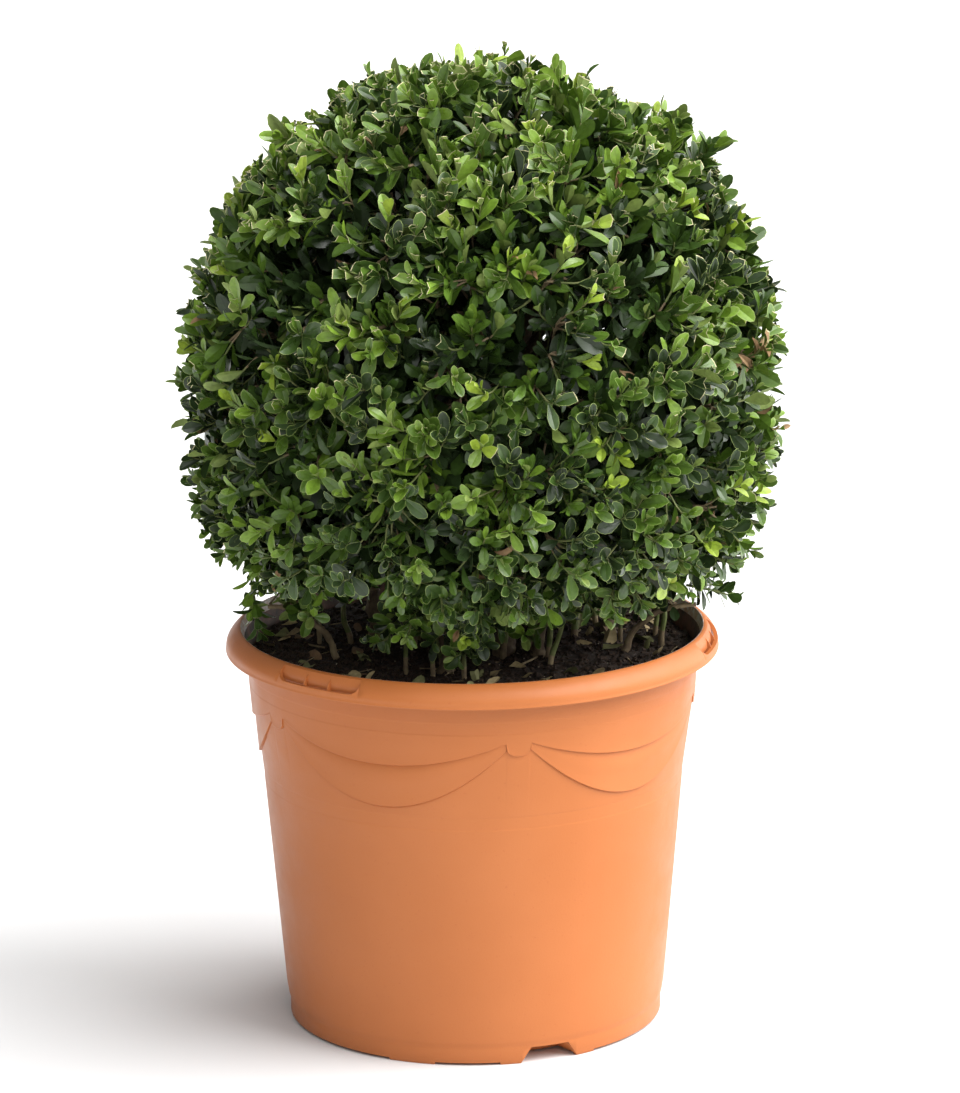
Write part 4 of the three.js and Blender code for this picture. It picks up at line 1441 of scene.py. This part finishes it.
SPRIG_CORNERS = np.concatenate([sprig_shoots(name) for name in SPRIGS])
sprig_shares = np.broadcast_to(np.linspace(0, 1, SPRIG_STEPS), (len(SPRIG_CORNERS), SPRIG_STEPS))
SPRIG_PATHS, _ = bezier(SPRIG_CORNERS, sprig_shares)
sprig_tips = SPRIG_CORNERS[:, 3]
sprig_reach = np.linalg.norm(sprig_tips - SPRIG_CORNERS[:, 0], axis=1)
sprig_size = RNG.uniform(0.8, 1.0, len(sprig_reach))
SPRIG_SHOOTS = {"tip": sprig_tips, "depth": np.zeros(len(sprig_tips)), "high": height_share(sprig_tips)}
SPRIG_LEAVES = deal_leaves(SPRIG_CORNERS, sprig_reach, SPRIG_SHOOTS["high"], sprig_size)
SPRIG_TINT = deal_tints(SPRIG_LEAVES, SPRIG_SHOOTS)
every_leaf = np.ones(len(SPRIG_TINT), bool)
make_tinted("sprig_leaves", SPRIG_LEAVES, SPRIG_TINT, [(FINE_LEAF, every_leaf)], SPRIGS)

# ---------------------------------------------------------------- wood

BARK_OLD = bark_material("bark_old", (0.085, 0.055, 0.032), (0.17, 0.125, 0.07))
BARK_TWIG = bark_material("bark_twig", (0.17, 0.12, 0.07), (0.27, 0.21, 0.115))
BARK_GREEN = bark_material("bark_green", (0.115, 0.150, 0.040), (0.19, 0.20, 0.075), 0.6)


def tapering(paths, thick, thin):
    """A radius for each point of each path, from thick to thin."""
    return np.linspace(thick, thin, paths.shape[1])[None] * RNG.uniform(0.82, 1.18, (len(paths), 1))


def two_barks(paths, sides, share):
    """The slots of tubes along some paths: 0 up to a share of their length, and 1 from there."""
    rows = paths.shape[1] - 1
    row_slots = (np.arange(rows) >= rows * share).astype(int)
    return np.tile(np.repeat(row_slots, sides), len(paths))


def make_limbs(name, paths, radii, sides, barks, share=1.0, relief=None, replaced=()):
    """A piece of limbs, in the first bark up to a share of their length and in the second beyond."""
    limbs = tubes(paths, radii, sides, two_barks(paths, sides, share), relief)
    make_piece(name, limbs, barks, replaced)


make_limbs("stems", STEM_PATHS, STEM_RADII, 18, [BARK_OLD, BARK_TWIG], 0.5, bark_relief, STEMS)
make_limbs("low_boughs", LOW_BOUGH_PATHS, LOW_BOUGH_RADII, 12, [BARK_TWIG], 1.0, bark_relief, LOW_BOUGHS)
for name, paths, thick, thin, sides, barks, share, relief in (
    ("young_stems", YOUNG_PATHS, 2.3, 1.5, 8, [BARK_TWIG, BARK_GREEN], 0.16, bark_relief),
    ("boughs", BOUGH_PATHS, 3.6, 1.9, 7, [BARK_OLD], 1.0, bark_relief),
    ("branches", BRANCH_PATHS, 1.8, 1.0, 5, [BARK_TWIG], 1.0, None),
    ("twigs", SHOOT_PATHS, 1.15, 0.65, 4, [BARK_TWIG, BARK_GREEN], 0.35, None),
    ("sprig_twigs", SPRIG_PATHS, 1.0, 0.6, 6, [BARK_GREEN], 1.0, None),
):
    make_limbs(name, paths, tapering(paths, thick, thin), sides, barks, share, relief)

# ---------------------------------------------------------------- litter on the compost


LITTER = [  # (kind, count, colour)
    ("tan", 30, (0.40, 0.31, 0.16)),
    ("olive", 44, (0.20, 0.20, 0.085)),
    ("brown", 30, (0.19, 0.115, 0.06)),
]


def fallen_leaves(count):
    """Curled dead leaves that lie on the compost, most of them near the wall."""
    places = on_soil(count, 84, SOIL_RADIUS - 9)
    along, _, up = random_frames(count, 0.35)
    length = RNG.uniform(13, 26, count)
    return {
        "place": places + UP * 3.0 - along * length[:, None] * 0.5,
        "along": along,
        "normal": up * np.where(RNG.random((count, 1)) < 0.5, 1, -1),
        "length": length,
        "width": length * RNG.uniform(0.4, 0.55, count),
        "bend": RNG.uniform(-0.35, 0.3, count),
        "fold": RNG.uniform(-0.5, 0.7, count),
        "wave": RNG.uniform(0.02, 0.12, count),
        "margin": RNG.uniform(0.4, 1.2, count),
        "reach": np.where(RNG.random(count) < 0.4, RNG.uniform(0.5, 0.9, count), 1.0),
    }


for kind, count, color in LITTER:
    looks = (f"litter_{kind}", 0.75), (f"litter_{kind}_edge", 0.8)
    skins = [leaf_material(name, color, roughness) for name, roughness in looks]
    make_piece(f"litter_{kind}", leaf_shapes(FINE_LEAF, fallen_leaves(count)), skins)
make_piece("litter_twigs", joined([twig_bits(40)]), [BARK_TWIG])
